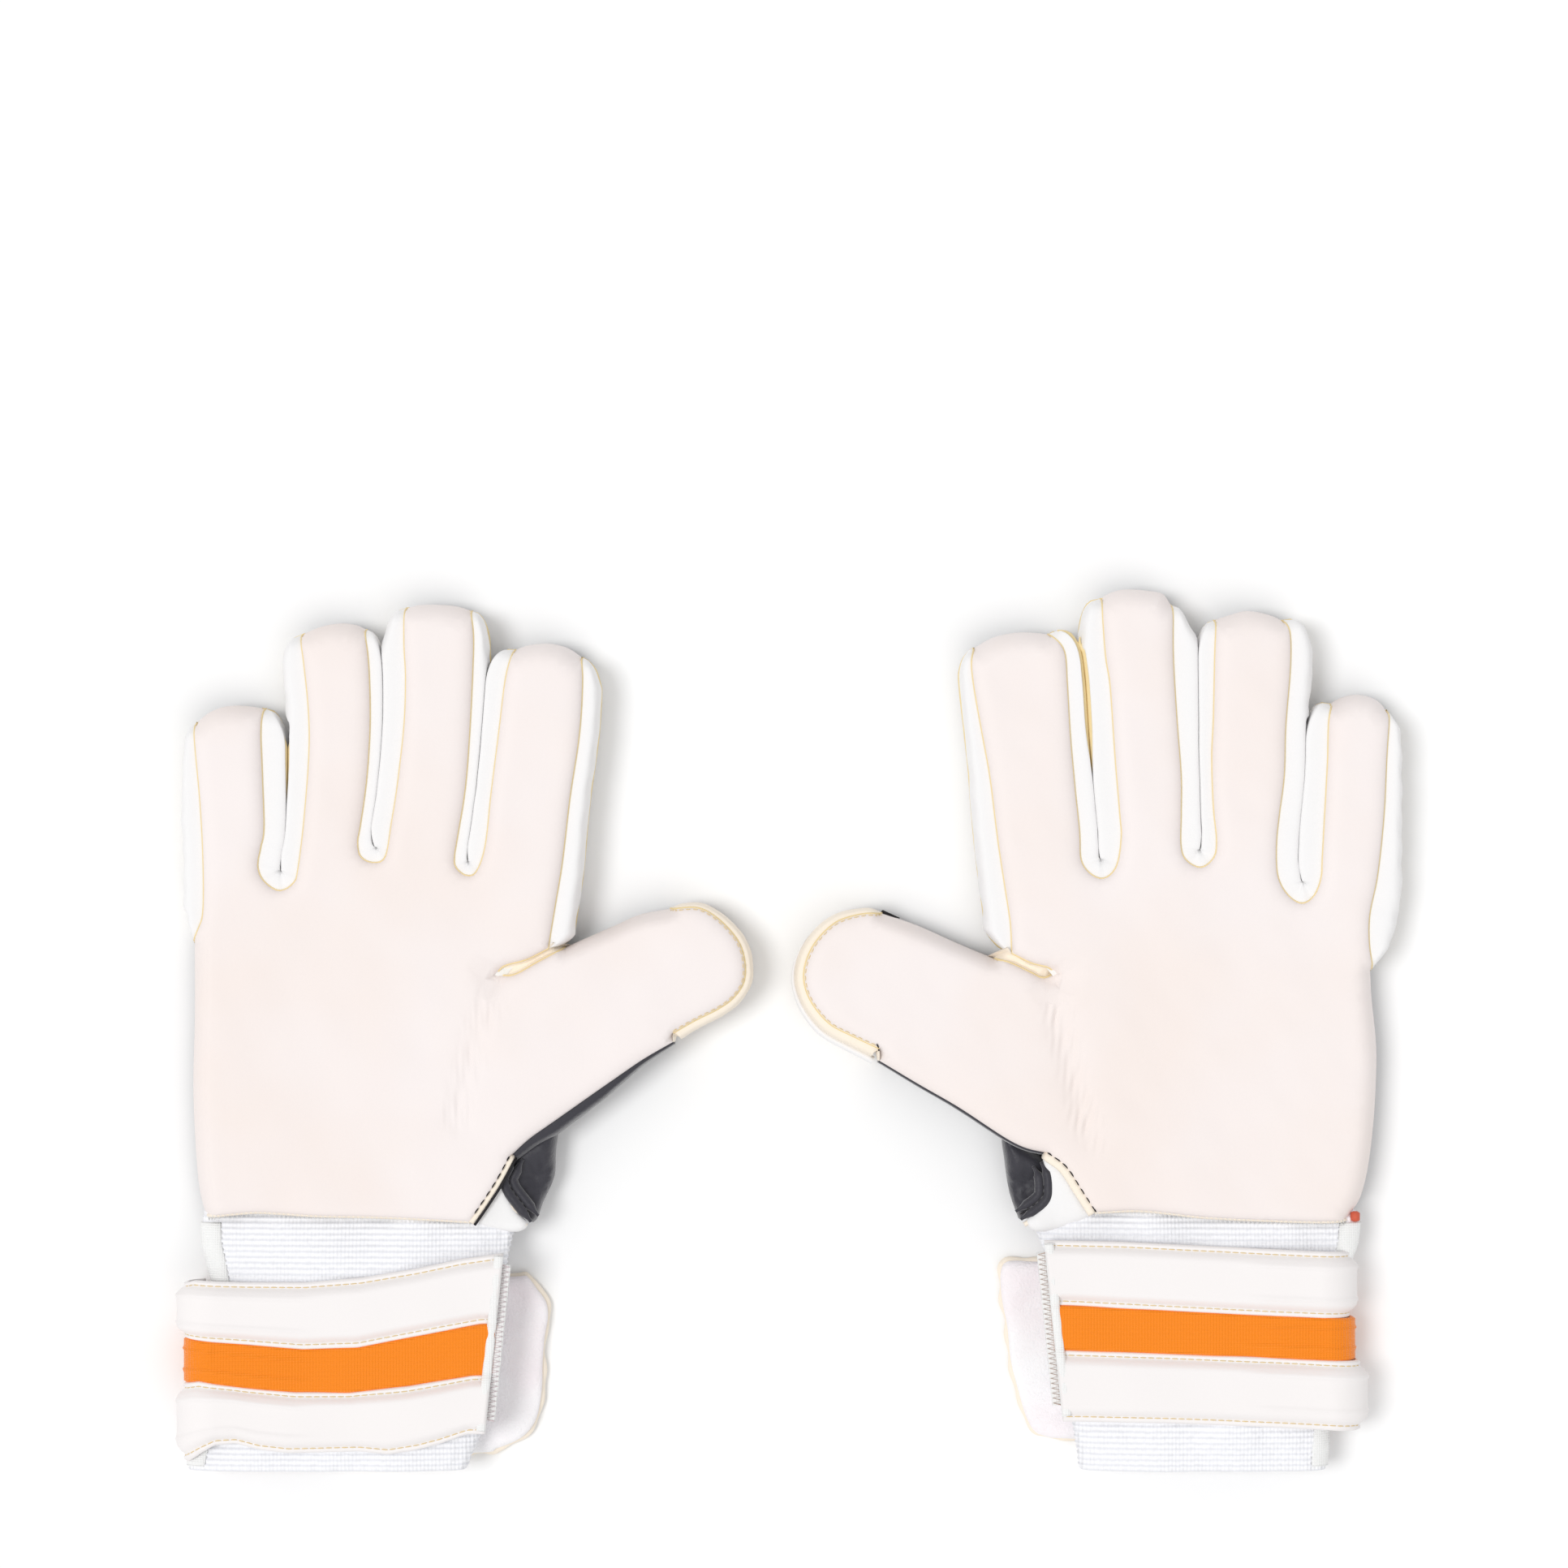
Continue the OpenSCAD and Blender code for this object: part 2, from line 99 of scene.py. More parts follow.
RIGHT = {
    "side": [(-45.5, .5), (-46.5, 2.5), (-48.5, 13), (-50, 39), (-49.5, 65), (-49.5, 88)],
    "outer": [(-49.5, 88), (-47, 93), (-45.5, 99), (-45.5, 118), (-46.5, 135), (-48, 152), (-48.5, 159)],
    "tips": [
        [(-48.5, 159), (-45, 162), (-40.5, 164), (-34.5, 164.5), (-26.5, 163.5)],
        [(-14.5, 187.5), (-8.5, 190), (-2.5, 191), (2.5, 190.5), (6, 189)],
        [(19, 196), (23.5, 197), (29.5, 197), (35, 196.5), (40, 195)],
        [(54, 182.5), (58.5, 184), (65, 184.5), (71, 183), (75.5, 180)]],
    "gaps": [
        [(-26.5, 163.5), (-27, 155), (-26.5, 142), (-26, 125), (-27, 119), (-28, 113), (-26, 108),
         (-21, 105), (-16.5, 107.5), (-15, 112), (-13, 128), (-11.5, 148), (-11.5, 161), (-13, 177),
         (-14.5, 187.5)],
        [(6, 189), (7.5, 178), (8, 160), (7, 142), (5, 127), (4, 120.5), (5, 116), (9, 114), (13, 116),
         (15, 127), (17, 140), (19, 158), (19.5, 173), (19, 184), (19, 196)],
        [(40, 195), (41, 188), (41, 180), (40, 158), (38.5, 138), (36, 122.5), (35, 116), (35.5, 112.5),
         (38.5, 110), (42, 111), (45, 119.5), (47, 137), (49.5, 157), (51.5, 173), (54, 182.5)]],
    "inner": [(75.5, 180), (76, 172), (75, 155), (72, 135), (69.5, 114), (67.5, 102), (66, 93),
              (65, 86.5)],
    "dart": [
        [(65, 86.5), (58, 83), (51, 81), (48, 78)],
        [(48, 78), (54, 78), (61.5, 82), (70, 86.5)]],
    "thumb_top": [(70, 86.5), (74.5, 88.5), (86, 93.5), (94, 97), (104, 99)],
    "thumb_tip": [(104, 99), (112.5, 99.5), (118, 97), (123, 92.5), (126.5, 87.5), (128, 81.5),
                  (127.5, 75.5), (124, 70.5), (119, 67), (112, 63.5), (105, 59.5)],
    "thumb_low": [(105, 56.5), (95.5, 51), (86, 44.5), (67.5, 31.5), (59, 25.5), (53, 20)],
    "notch": [(53, 20), (49, 12.5), (44.5, 5.5), (40, -1)],
    "wrist": [(40, -1), (31.5, -.5), (11, .5), (-10, 1), (-27, 2), (-35.5, 1.5), (-45.5, .5)],
    "outer_bulge": [(88, 0), (94, 5), (100, 7), (128, 7), (143, 5.5), (153, 4), (160, 1.5)],
    "inner_bulge": [(86, 4.5), (92, 7.3), (107, 7), (125, 6.3), (152, 5.8), (170, 5.8), (181, 2)],
    "gap_bulge": [(6.2, 7.8), (4.6, 6.6), (4.4, 6.4)],
    "gap_share": [.54, .36, .4],
    "gap_open": {0: (128, 1.3, 155)},
    "crease": [(47.5, 73), (44.5, 65), (41.4, 56), (38, 42), (36, 31)],
    "crease_depth": .9,
    "wrap_width": [(0, .3), (.05, 1.3), (.35, 2.4), (.6, 2.8), (1, 3.4)],
    "wrap_backing": [(0, 0), (1, 0)],
    "dark_width": [(0, 1), (.2, 1.8), (.45, 3.6), (.75, 4.2), (1, 2.4)],
    "gore": [(53, 20.5), (51, 16.5), (49.5, 13), (50.5, 8.5), (54.5, 3), (58.5, -2), (61, -1), (63, 4.5),
             (66.5, 12.5), (67, 20), (67.5, 30), (61, 26.5)],
    "insert": [(40, -1.5), (44, 4.5), (49, 12.5), (52.5, 19.5), (50, 13), (51.5, 8), (54.5, 2.5),
               (58.5, -2), (55, -4.5), (47, -3.5)],
    "gore_hollow": (61.5, 12),
    "trim_start": 12,
    "notch_binding": .9,
    "notch_cord": 1.9,
    "band_x": [(6, -45, 49), (-2, -46.5, 54), (-8, -46, 52.7), (-20, -43, 50.5), (-60, -46, 46),
               (-72, -49.5, 42), (-80.8, -51, 38.5)],
    "strap": {
        "upper": ([(-54, -20.5), (-50, -19.5), (-31, -20), (-12, -20), (6, -18.5), (24, -15.5),
                   (38, -12.5), (52, -10.5)],
                  [(-54, -38.5), (-31, -40), (-12, -41.5), (6, -41), (19, -38.5), (32, -36),
                   (46, -33.5)]),
        "lower": ([(-54, -52.5), (-48, -51.5), (-31, -53.5), (-14, -55), (4, -55), (24, -53),
                   (45, -49.5)],
                  [(-54, -78), (-47, -74.5), (-41, -72), (-34, -71.5), (-26, -73.5), (-16, -74.5),
                   (8, -74), (18, -75), (28, -73.5), (36, -71.5), (45, -68.5)])},
    "strap_turn": (-41.6, -41.6),
    "strap_end": [(-10.5, 51), (-69, 45)],
    "tab": [(-7, -20.2), (51.2, -20.2), (56.6, -19.5), (60.8, -24.3), (63.7, -28.5), (64.2, -33.5),
            (63.1, -40), (62.5, -48), (62.3, -56), (61, -64.4), (58.6, -69.4), (54.5, -73),
            (47.5, -75.8), (40.7, -77.2), (-7, -77.2)],
}
LEFT = {
    "side": [(-44.5, -.5), (-46, 2), (-48.5, 6.5), (-51, 17), (-53, 35), (-53.5, 54), (-52, 70),
             (-51.5, 79)],
    "outer": [(-51.5, 79), (-50, 87), (-50, 97), (-52.5, 110), (-54.5, 130), (-55.5, 150), (-56.5, 163)],
    "tips": [
        [(-56.5, 163), (-53, 166.5), (-47.5, 168), (-42, 167), (-38.5, 165)],
        [(-23, 192), (-18, 194), (-11.5, 195), (-5.5, 193.5), (-1, 192)],
        [(13, 197), (15.5, 200.5), (20, 201.5), (27, 202), (32, 201), (35.5, 199)],
        [(52.5, 187.5), (57, 188), (63, 188), (70, 186.5), (76.5, 183)]],
    "gaps": [
        [(-38.5, 165), (-37, 160), (-36.5, 145), (-35, 118), (-34.5, 109), (-32, 103), (-28, 101),
         (-23.5, 104), (-20.5, 110), (-20, 120), (-21, 130), (-22.5, 142), (-23, 158), (-24.5, 176),
         (-24.5, 187), (-23, 192)],
        [(-1, 192), (-.5, 182), (0, 160), (.5, 148), (0, 132), (-1, 121), (0, 115.5), (4, 112.5),
         (8.5, 114.5), (10.5, 119), (10.5, 130), (10.5, 142), (12, 162), (13, 180), (13, 197)],
        [(35.5, 199), (35.5, 194), (34.5, 180), (33, 170), (31.5, 148), (30, 130), (29.5, 122),
         (31, 113), (35, 109), (39.5, 110.5), (42.5, 115), (43, 124), (44.5, 138), (46, 155), (47, 172),
         (48, 182), (52.5, 187.5)]],
    "inner": [(76.5, 183), (77.5, 178), (76.5, 169), (74, 155), (71.5, 141), (69, 121), (67, 108),
              (65, 95), (64.5, 85)],
    "dart": [
        [(64.5, 85), (58.5, 82), (53, 80.5), (50.5, 78.5)],
        [(50.5, 78.5), (54.5, 77), (59, 79), (65.5, 82), (70, 83)]],
    "thumb_top": [(70, 83), (81, 87.5), (94.5, 93.5), (106, 97.5)],
    "thumb_tip": [(106, 97.5), (112, 97.5), (120.5, 95), (127, 89), (130.5, 82), (131, 75.5),
                  (128.5, 69), (123, 62.5), (115.5, 58.5), (107, 54.5)],
    "thumb_low": [(107, 50.5), (94.5, 43), (81.5, 35.5), (67, 26), (60, 22.5), (53.5, 21)],
    "notch": [(53.5, 21), (47.5, 16.5), (42.5, 9), (38, 2)],
    "wrist": [(38, 2), (23, 2.5), (3.5, .5), (-15.5, -.5), (-35, -1), (-44.5, -.5)],
    "outer_bulge": [(79, 0), (86, 7), (95, 9.6), (105, 9.6), (114, 7.8), (130, 6.3), (150, 5.4),
                    (158, 4), (161.5, 1.5)],
    "inner_bulge": [(84, 3), (93, 8.3), (108, 7.8), (136, 6.8), (160, 4.8), (175, 3.8), (181, 2)],
    "gap_bulge": [(7.6, 7.6), (6.7, 5.8), (7.5, 5.2)],
    "gap_share": [.52, .4, .56],
    "gap_open": {2: (138, 2.2, 187)},
    "crease": [(51.8, 74), (49.3, 62), (46, 49), (42.5, 36), (39.5, 24)],
    "crease_depth": 1.5,
    "wrap_width": [(0, .3), (.05, 1.6), (.3, 2.8), (.6, 3.3), (1, 4)],
    "wrap_backing": [(0, 0), (.3, 0), (.5, .8), (.7, 1.5), (1, 1.7)],
    "dark_width": [(0, .9), (.5, 1.1), (1, 1)],
    "gore": [(54, 18.5), (52, 14.5), (51.5, 10), (52, 6), (55, 2.5), (61, -1.5), (62.5, .5), (65, 8),
             (66.5, 17.5), (67, 26.5), (60, 22.5)],
    "insert": [(38, 1), (43, 8.5), (47.5, 16), (53.5, 20.5), (54.5, 17.5), (53, 10), (54, 6), (57, 2),
               (60, -1), (56, -4.5), (46, -2.5)],
    "gore_hollow": (60, 10),
    "trim_start": 0,
    "notch_binding": 1.5,
    "notch_cord": 0,
    "tag": (-45.5, .4),
    "band_x": [(6, -44, 50), (-1, -47.5, 57.5), (-8, -46.5, 55), (-20, -42, 50), (-60, -38, 46),
               (-70, -37, 44), (-80.8, -36.5, 42.6)],
    "strap": {
        "upper": ([(-46.5, -10.5), (-30, -10), (0, -8.5), (30, -7), (55, -6.5)],
                  [(-46.5, -32), (-20, -31), (20, -29), (50, -27.5)]),
        "lower": ([(-50, -45.5), (-20, -44), (20, -42.5), (50, -41.5)],
                  [(-50, -68), (-20, -66.5), (20, -65), (48, -64.5)])},
    "strap_turn": (-33.6, -37),
    "strap_end": [(-6.5, 54.5), (-64.5, 48.5)],
    "tab": [(-3, -15.4), (52, -15.4), (62, -15), (66.3, -15.8), (67.6, -20), (67, -28), (65.4, -36),
            (64.2, -47.4), (61.8, -57), (59.6, -64.5), (57, -69.7), (53.6, -71.6), (45, -72.6),
            (-3, -72.6)],
}
GLOVES = {"right": RIGHT, "left": LEFT}

# Each finger's bend in its glove's frame: (x, y, lean towards the thumb in degrees)
BENDS = {
    "right": [(-36.5, 118, 0), (-4.9, 127, 1.1), (25.9, 127, 3.7), (59.3, 123, 5.4)],
    "left": [(-44, 115, -.5), (-11.9, 125.5, 0), (21.2, 125.5, 4), (57, 122, 5.2)],
}
THUMB_BEND = {"right": (70.6, 60.8), "left": (73.9, 60.1)}
THUMB_ANGLE = 29

# How the surface turns down towards each kind of edge: (front drop, front reach, back rise, back reach)
TURNS = {
    "tip": (15.5, 8, 7.6, 7),
    "side": (17, 7.5, 4.5, 6),
    "thumb_top": (15.5, 5.5, 6, 6),
    "seam": (3.6, 5.5, 3.2, 5),
    "edge": (2.2, 3.2, 2.2, 3),
}
BAND_LOW = [(6, 5.5), (-2, 4.6), (-20, 5.2), (-81, 5.2)]
BAND_HIGH = [(6, 15.5), (1, 17.6), (-3, 19.3), (-10, 21), (-20, 22.6), (-70, 22.6), (-81, 21.5)]
LINING_PLAN = [(-42, 4), (-44, 50), (-42, 94), (-30, 99), (0, 105), (26, 105), (56, 102), (60, 88),
               (50, 76), (46, 68), (62, 50), (46, 24), (38, 4)]

# ---- shapes ------------------------------------------------------------------------------------


def smooth(t):
    """Rises from 0 to 1 as t does, gently at both ends."""
    t = np.clip(t, 0, 1)
    return t * t * (3 - 2 * t)


def spline(points, step=1.3):
    """Evenly spaced points on a smooth curve through points."""
    p = np.array(points, float)
    ends = np.vstack([2 * p[0] - p[1], p, 2 * p[-1] - p[-2]])
    t = np.linspace(0, 1, 16, endpoint=False)[:, None]
    fine = []
    for a, b, c, d in zip(ends[:-3], ends[1:-2], ends[2:-1], ends[3:]):
        fine.append(.5 * (2 * b + (c - a) * t + (2 * a - 5 * b + 4 * c - d) * t ** 2
                          + (3 * b - a - 3 * c + d) * t ** 3))
    return even(np.vstack(fine + [p[-1:]]), step)


def even(line, step):
    """line again with its points step apart."""
    s = lengths(line)
    u = np.linspace(0, s[-1], max(2, int(round(s[-1] / step)) + 1))
    return np.column_stack([np.interp(u, s, line[:, k]) for k in range(line.shape[1])])


def lengths(line):
    """How far along a line each point is."""
    return np.concatenate([[0], np.cumsum(np.linalg.norm(np.diff(line, axis=0), axis=1))])


def from_ends(line):
    """How far each point is from the nearer end, along the line."""
    s = lengths(line)
    return np.minimum(s, s[-1] - s)


def distance(points, line):
    """Distance from each 2-D point to a line."""
    a, d = line[:-1, :2], np.diff(line[:, :2], axis=0)
    best = np.full(len(points), 1e9)
    dd = np.maximum((d ** 2).sum(1), 1e-12)
    for i in range(0, len(points), 2000):
        p = points[i:i + 2000, None, :2] - a[None]
        t = np.clip((p * d[None]).sum(2) / dd, 0, 1)
        best[i:i + 2000] = np.linalg.norm(p - t[..., None] * d[None], axis=2).min(1)
    return best


def inside(points, outline):
    """Which 2-D points are within a closed outline."""
    x, y = points[:, 0], points[:, 1]
    found = np.zeros(len(points), bool)
    for (ax, ay), (bx, by) in zip(outline, np.roll(outline, -1, axis=0)):
        if ay == by:
            continue
        crosses = (ay > y) != (by > y)
        found ^= crosses & (x < (bx - ax) * (y - ay) / (by - ay) + ax)
    return found


def waves(x, y, seed, size):
    """A gentle unevenness between about -1 and 1, with features of about that size."""
    random = np.random.default_rng(seed)
    total = np.zeros(np.shape(x))
    for _ in range(7):
        angle, phase, scale = random.uniform(0, 6.28), random.uniform(0, 6.28), random.uniform(.7, 1.6)
        k = 6.28 / (size * scale)
        total += np.sin(k * (x * math.cos(angle) + y * math.sin(angle)) + phase)
    return total / 3.2


def outward_closed(outline):
    """The way out of a closed outline at each of its points."""
    ahead, behind = np.roll(outline, -1, axis=0), np.roll(outline, 1, axis=0)
    along = ahead - behind
    along /= np.maximum(np.linalg.norm(along, axis=1), 1e-9)[:, None]
    area = (outline[:, 0] * ahead[:, 1] - ahead[:, 0] * outline[:, 1]).sum()
    return np.column_stack([along[:, 1], -along[:, 0]]) * (1 if area > 0 else -1)


def region(outline, rings, spacing, fine=None):
    """Triangles that fill a closed outline, with rows of points along its edge at the rings' distances.
    Returns (2-D points, triangles); the outline's own points come first."""
    inward = -outward_closed(outline)
    closed = np.vstack([outline, outline[:1]])
    points = [outline]
    for ring in rings:
        every = 1 if ring < 3 else 2
        candidate = outline[::every] + ring * inward[::every]
        keep = inside(candidate, outline) & (distance(candidate, closed) > .94 * ring)
        points.append(candidate[keep])
    low, high = outline.min(0), outline.max(0)

    def grid(step):
        rows = []
        for i, y in enumerate(np.arange(low[1], high[1], step * .866)):
            xs = np.arange(low[0] + (i % 2) * step / 2, high[0], step)
            rows.append(np.column_stack([xs, np.full(len(xs), y)]))
        spots = np.vstack(rows)
        spots = spots[inside(spots, outline)]
        return spots[distance(spots, closed) > rings[-1] + .45 * spacing]

    filling = grid(spacing)
    if fine is not None:
        line, reach, step = fine
        close = grid(step)
        filling = np.vstack([filling[distance(filling, line) > reach],
                             close[distance(close, line) <= reach]])
    points = np.vstack(points + [filling])
    made = delaunay_2d_cdt([Vector(p) for p in points], [], [list(range(len(outline)))], 1, 1e-5)
    verts = np.array([tuple(v) for v in made[0]])
    faces = [f if turns_left(verts[f]) else f[::-1] for f in made[2]]
    return verts, faces


def turns_left(p):
    """Whether a triangle's corners run anticlockwise."""
    return (p[1][0] - p[0][0]) * (p[2][1] - p[0][1]) > (p[1][1] - p[0][1]) * (p[2][0] - p[0][0])


def roll(share):
    """How far a rounded edge has come up, from 0 at the edge to 1 at its reach."""
    u = 1 - np.clip(share, 0, 1)
    return (1 - u ** 2.3) ** (1 / 2.1)


def vertex_normals(verts, faces):
    """The smooth surface's normal at each point."""
    normals = np.zeros_like(verts)
    for size in {len(f) for f in faces}:
        f = np.array([g for g in faces if len(g) == size])
        n = np.cross(verts[f[:, 1]] - verts[f[:, 0]], verts[f[:, 2]] - verts[f[:, 0]])
        if size == 4:
            n += np.cross(verts[f[:, 2]] - verts[f[:, 0]], verts[f[:, 3]] - verts[f[:, 0]])
        for k in range(size):
            np.add.at(normals, f[:, k], n)
    return normals / np.maximum(np.linalg.norm(normals, axis=1), 1e-12)[:, None]


def join(parts):
    """Several (verts, faces) as one."""
    verts, faces, start = [], [], 0
    for v, f in parts:
        verts.append(v)
        faces += [tuple(int(i) + start for i in g) for g in f]
        start += len(v)
    return np.vstack(verts), faces


def grid_faces(rows, columns, closed=False):
    """Faces of a grid of points, row by row; closed joins each row's end to its start."""
    faces = []
    for i in range(rows - 1):
        for j in range(columns if closed else columns - 1):
            k = (j + 1) % columns
            faces.append((i * columns + j, i * columns + k, (i + 1) * columns + k, (i + 1) * columns + j))
    return faces


def tube(line, radius, sides=6, flat=1.0):
    """A closed cord along a 3-D line."""
    line = np.asarray(line, float)
    along = np.gradient(line, axis=0)
    along /= np.maximum(np.linalg.norm(along, axis=1), 1e-9)[:, None]
    across = np.cross(along, [0, 0, 1.0])
    across /= np.maximum(np.linalg.norm(across, axis=1), 1e-6)[:, None]
    up = np.cross(across, along)
    a = np.arange(sides) * 2 * math.pi / sides
    radius = np.broadcast_to(radius, (len(line),))
    verts = (line[:, None] + radius[:, None, None] * (np.cos(a)[None, :, None] * across[:, None]
             + flat * np.sin(a)[None, :, None] * up[:, None])).reshape(-1, 3)
    faces = grid_faces(len(line), sides, closed=True)
    last = (len(line) - 1) * sides
    faces += [tuple(range(sides))[::-1], tuple(range(last, last + sides))]
    return verts, [f[::-1] for f in faces]


def stitches(line, long, gap, radius, sink=0.0):
    """Short threads along a 3-D line, each bowed a little."""
    line = even(np.asarray(line, float), .25)
    s = lengths(line)
    parts = []
    for start in np.arange(gap / 2, s[-1] - long, long + gap):
        u = np.linspace(start, start + long, 5)
        p = np.column_stack([np.interp(u, s, line[:, k]) for k in range(3)])
        p[:, 2] += np.array([-.5, .5, .8, .5, -.5]) * radius - sink
        parts.append(tube(p, radius * np.array([.7, 1, 1, 1, .7]), 5))
    return join(parts)


def overlock(line, step, sway, shift, radius):
    """A thread along a 3-D line that goes sway to one side and the other at each step, moved by shift."""
    line = even(line, step)
    line += np.outer(np.where(np.arange(len(line)) % 2, 1, -1), sway) + shift
    return tube(line, radius, 5)


# ---- meshes and the bodies they follow ---------------------------------------------------------


def origin(side):
    """Where a glove's own origin is in the pair, in mm."""
    low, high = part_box(side + "_wristband")
    x = low.x * 1000 + BAND_LEFT if side == "right" else high.x * 1000 - BAND_LEFT
    return np.array([x, high.y * 1000 - BAND_TOP])


def in_pair(side, verts):
    """A glove's own points as points of the pair, in metres."""
    verts = np.asarray(verts, float).copy()
    place = origin(side)
    verts[:, 0] = place[0] + verts[:, 0] * SIDES[side]
    verts[:, 1] += place[1]
    return verts / 1000


def placed(name, data):
    """A new object in the scene."""
    thing = bpy.data.objects.new(name, data)
    bpy.context.scene.collection.objects.link(thing)
    return thing


def make(side, name, verts, faces, material, normals=None):
    """A smooth mesh object from a glove's own points."""
    mesh = bpy.data.meshes.new(name)
    faces = [tuple(int(i) for i in f) for f in faces]
    if side == "left":
        faces = [f[::-1] for f in faces]
    mesh.from_pydata([tuple(v) for v in in_pair(side, verts)], [], faces)
    mesh.shade_smooth()
    mesh.materials.append(material)
    if normals is not None:
        mirrored = normals * [SIDES[side], 1, 1]
        mesh.normals_split_custom_set_from_vertices([tuple(n) for n in mirrored])
    return placed(name, mesh)


def bend_frame(side, owner):
    """(a point of the joint, the way the finger points) in the glove's frame."""
    if owner == THUMB:
        a = math.radians(THUMB_ANGLE)
        return np.array(THUMB_BEND[side]), np.array([math.cos(a), math.sin(a)])
    x, y, lean = BENDS[side][owner]
    a = math.radians(lean)
    return np.array([x, y]), np.array([math.sin(a), math.cos(a)])


def split(side, shape, owner, hand, suffix, material_, slot=None, nodes=()):
    """Makes a mesh as separate pieces: the part named hand rides on the hand, and each digit's part past its
    bend is a piece of its own, named DIGIT_suffix. owner says whose each point is, and nodes maps an owner
    to its CAD node."""
    verts, faces = shape
    owner = np.broadcast_to(owner, len(verts))
    normals = vertex_normals(verts, faces)
    past = np.zeros(len(verts), bool)
    for o in set(owner.tolist()) - {HAND}:
        at, way = bend_frame(side, o)
        past |= (owner == o) & ((verts[:, :2] - at) @ way > -BLEND_REACH)
    groups = {}
    for f in faces:
        moving = [owner[i] for i in f if past[i]]
        groups.setdefault(int(moving[0]) if moving else HAND, []).append(list(f))
    for o, kept in groups.items():
        name = hand if o == HAND else digit(o) + "_" + suffix
        used, where = np.unique(np.concatenate(kept), return_inverse=True)
        sizes = np.cumsum([0] + [len(f) for f in kept])
        again = [where[a:b].tolist() for a, b in zip(sizes[:-1], sizes[1:])]
        thing = make(side, side + "_" + name, verts[used], again, material_, normals[used])
        if o == HAND:
            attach(thing, side + "_hand")
        else:
            follow(side, thing, o)
        declare(side, slot, [nodes[o]] if o in nodes else [])


def declare(side, slot, nodes):
    """Hides the CAD nodes that a piece replaces, when it is given a material slot and nodes."""
    if slot and nodes:
        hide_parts(*[side + "_" + n for n in nodes])


def ride(side, name, shape, material_, slot=None, nodes=(), body="hand"):
    """A piece that moves with one body."""
    thing = make(side, side + "_" + name, *shape, material_)
    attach(thing, side + "_" + body)
    declare(side, slot, nodes)
    return thing


def follow(side, thing, owner):
    """Bakes thing's placement into its mesh; the ends of its finger's or thumb's bend are worked out but not
    used.
    """
    at, way = bend_frame(side, owner)
    ends = np.array([at - BLEND_REACH * way, at + BLEND_REACH * way])
    start, end = in_pair(side, np.column_stack([ends, [20, 20]]))
    side + "_" + digit(owner)
    tuple(start)
    tuple(end)
    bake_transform(thing)


def digit(owner):
    return "thumb" if owner == THUMB else FINGERS[owner]


# ---- materials ---------------------------------------------------------------------------------


def linear(colour):
    """An sRGB colour of 0 to 255 as the shader wants it."""
    return [((c / 255 + .055) / 1.055) ** 2.4 if c > 10 else c / 255 / 12.92 for c in colour] + [1]


def material(name, colour, rough, grain=(), sheen=0.0, tint=None, ribs=None):
    """colour is sRGB. grain is a list of (kind, scale per metre, depth in mm) of bumps; tint is (a second
    colour, scale per metre) for soft patches, and ribs the same for darker stripes across the glove,
    which are painted shade in the grooves between knitted ribs."""
    m = bpy.data.materials.new(name)
    m.use_nodes = True
    nodes, link = m.node_tree.nodes, m.node_tree.links.new

    def node(kind, **values):
        made = nodes.new("ShaderNode" + kind)
        for socket, value in values.items():
            made.inputs[socket.replace("_", " ")].default_value = value
        return made

    shader = nodes["Principled BSDF"]
    shader.inputs["Base Color"].default_value = linear(colour)
    shader.inputs["Roughness"].default_value = rough
    shader.inputs["Specular IOR Level"].default_value = .3
    shader.inputs["Sheen Weight"].default_value = sheen
    shader.inputs["Sheen Roughness"].default_value = .5
    place = node("TexCoord").outputs["Object"]
    normal = None
    for kind, scale, depth in grain:
        if kind == "noise":
            texture = node("TexNoise", Scale=scale, Detail=4)
        elif kind == "cells":
            texture = node("TexVoronoi", Scale=scale)
        else:
            texture = node("TexWave", Scale=scale, Distortion=.6, Detail_Scale=2)
            texture.bands_direction = kind
        link(place, texture.inputs["Vector"])
        bump = node("Bump", Strength=1, Distance=depth / 1000)
        link(texture.outputs["Distance" if kind == "cells" else "Fac"], bump.inputs["Height"])
        if normal is not None:
            link(normal, bump.inputs["Normal"])
        normal = bump.outputs["Normal"]
    if normal is not None:
        link(normal, shader.inputs["Normal"])
    second = tint or ribs
    if second:
        if tint:
            pattern = node("TexNoise", Scale=second[1], Detail=3)
        else:
            # darker stripes across the glove: painted shade in the grooves between the ribs
            pattern = node("TexWave", Scale=second[1], Detail=3, Distortion=1.2, Detail_Scale=3)
            pattern.bands_direction = "Y"
        link(place, pattern.inputs["Vector"])
        mix = node("Mix")
        mix.data_type = "RGBA"
        mix.inputs["A"].default_value = linear(colour)
        mix.inputs["B"].default_value = linear(second[0])
        ramp = node("MapRange", From_Min=.4, From_Max=.7 if tint else 1)
        link(pattern.outputs["Fac"], ramp.inputs["Value"])
        link(ramp.outputs["Result"], mix.inputs["Factor"])
        link(mix.outputs["Result"], shader.inputs["Base Color"])
    return m


PALM = material("palm_latex", (241, 233, 231), .62, [("noise", 900, .05), ("noise", 130, .12)], .05,
                tint=((240, 229, 224), 14))
BACK = material("back_latex", (62, 61, 68), .5, [("noise", 700, .06), ("cells", 260, .12)])
GUSSET = material("gusset_fabric", (240, 239, 239), .8, [("noise", 1500, .06), ("noise", 110, .2)], .2)
DARK = material("dark_fabric", (49, 48, 56), .45, [("noise", 1100, .16), ("noise", 160, .3)], .5)
LINING = material("lining", (236, 236, 234), .95, [("noise", 1200, .2)], .4)
# The knit's rib stripes are a darker colour: painted shade in the grooves between its ribs.
KNIT = material("knit", (248, 248, 251), .9, [("X", 260, .12), ("noise", 800, .1)], .3,
                ribs=((234, 235, 240), round(100 * math.pi / KNIT_RIB, 1)))
TAPE = material("tape", (243, 243, 242), .85, [("Y", 420, .08), ("X", 420, .08)], .3)
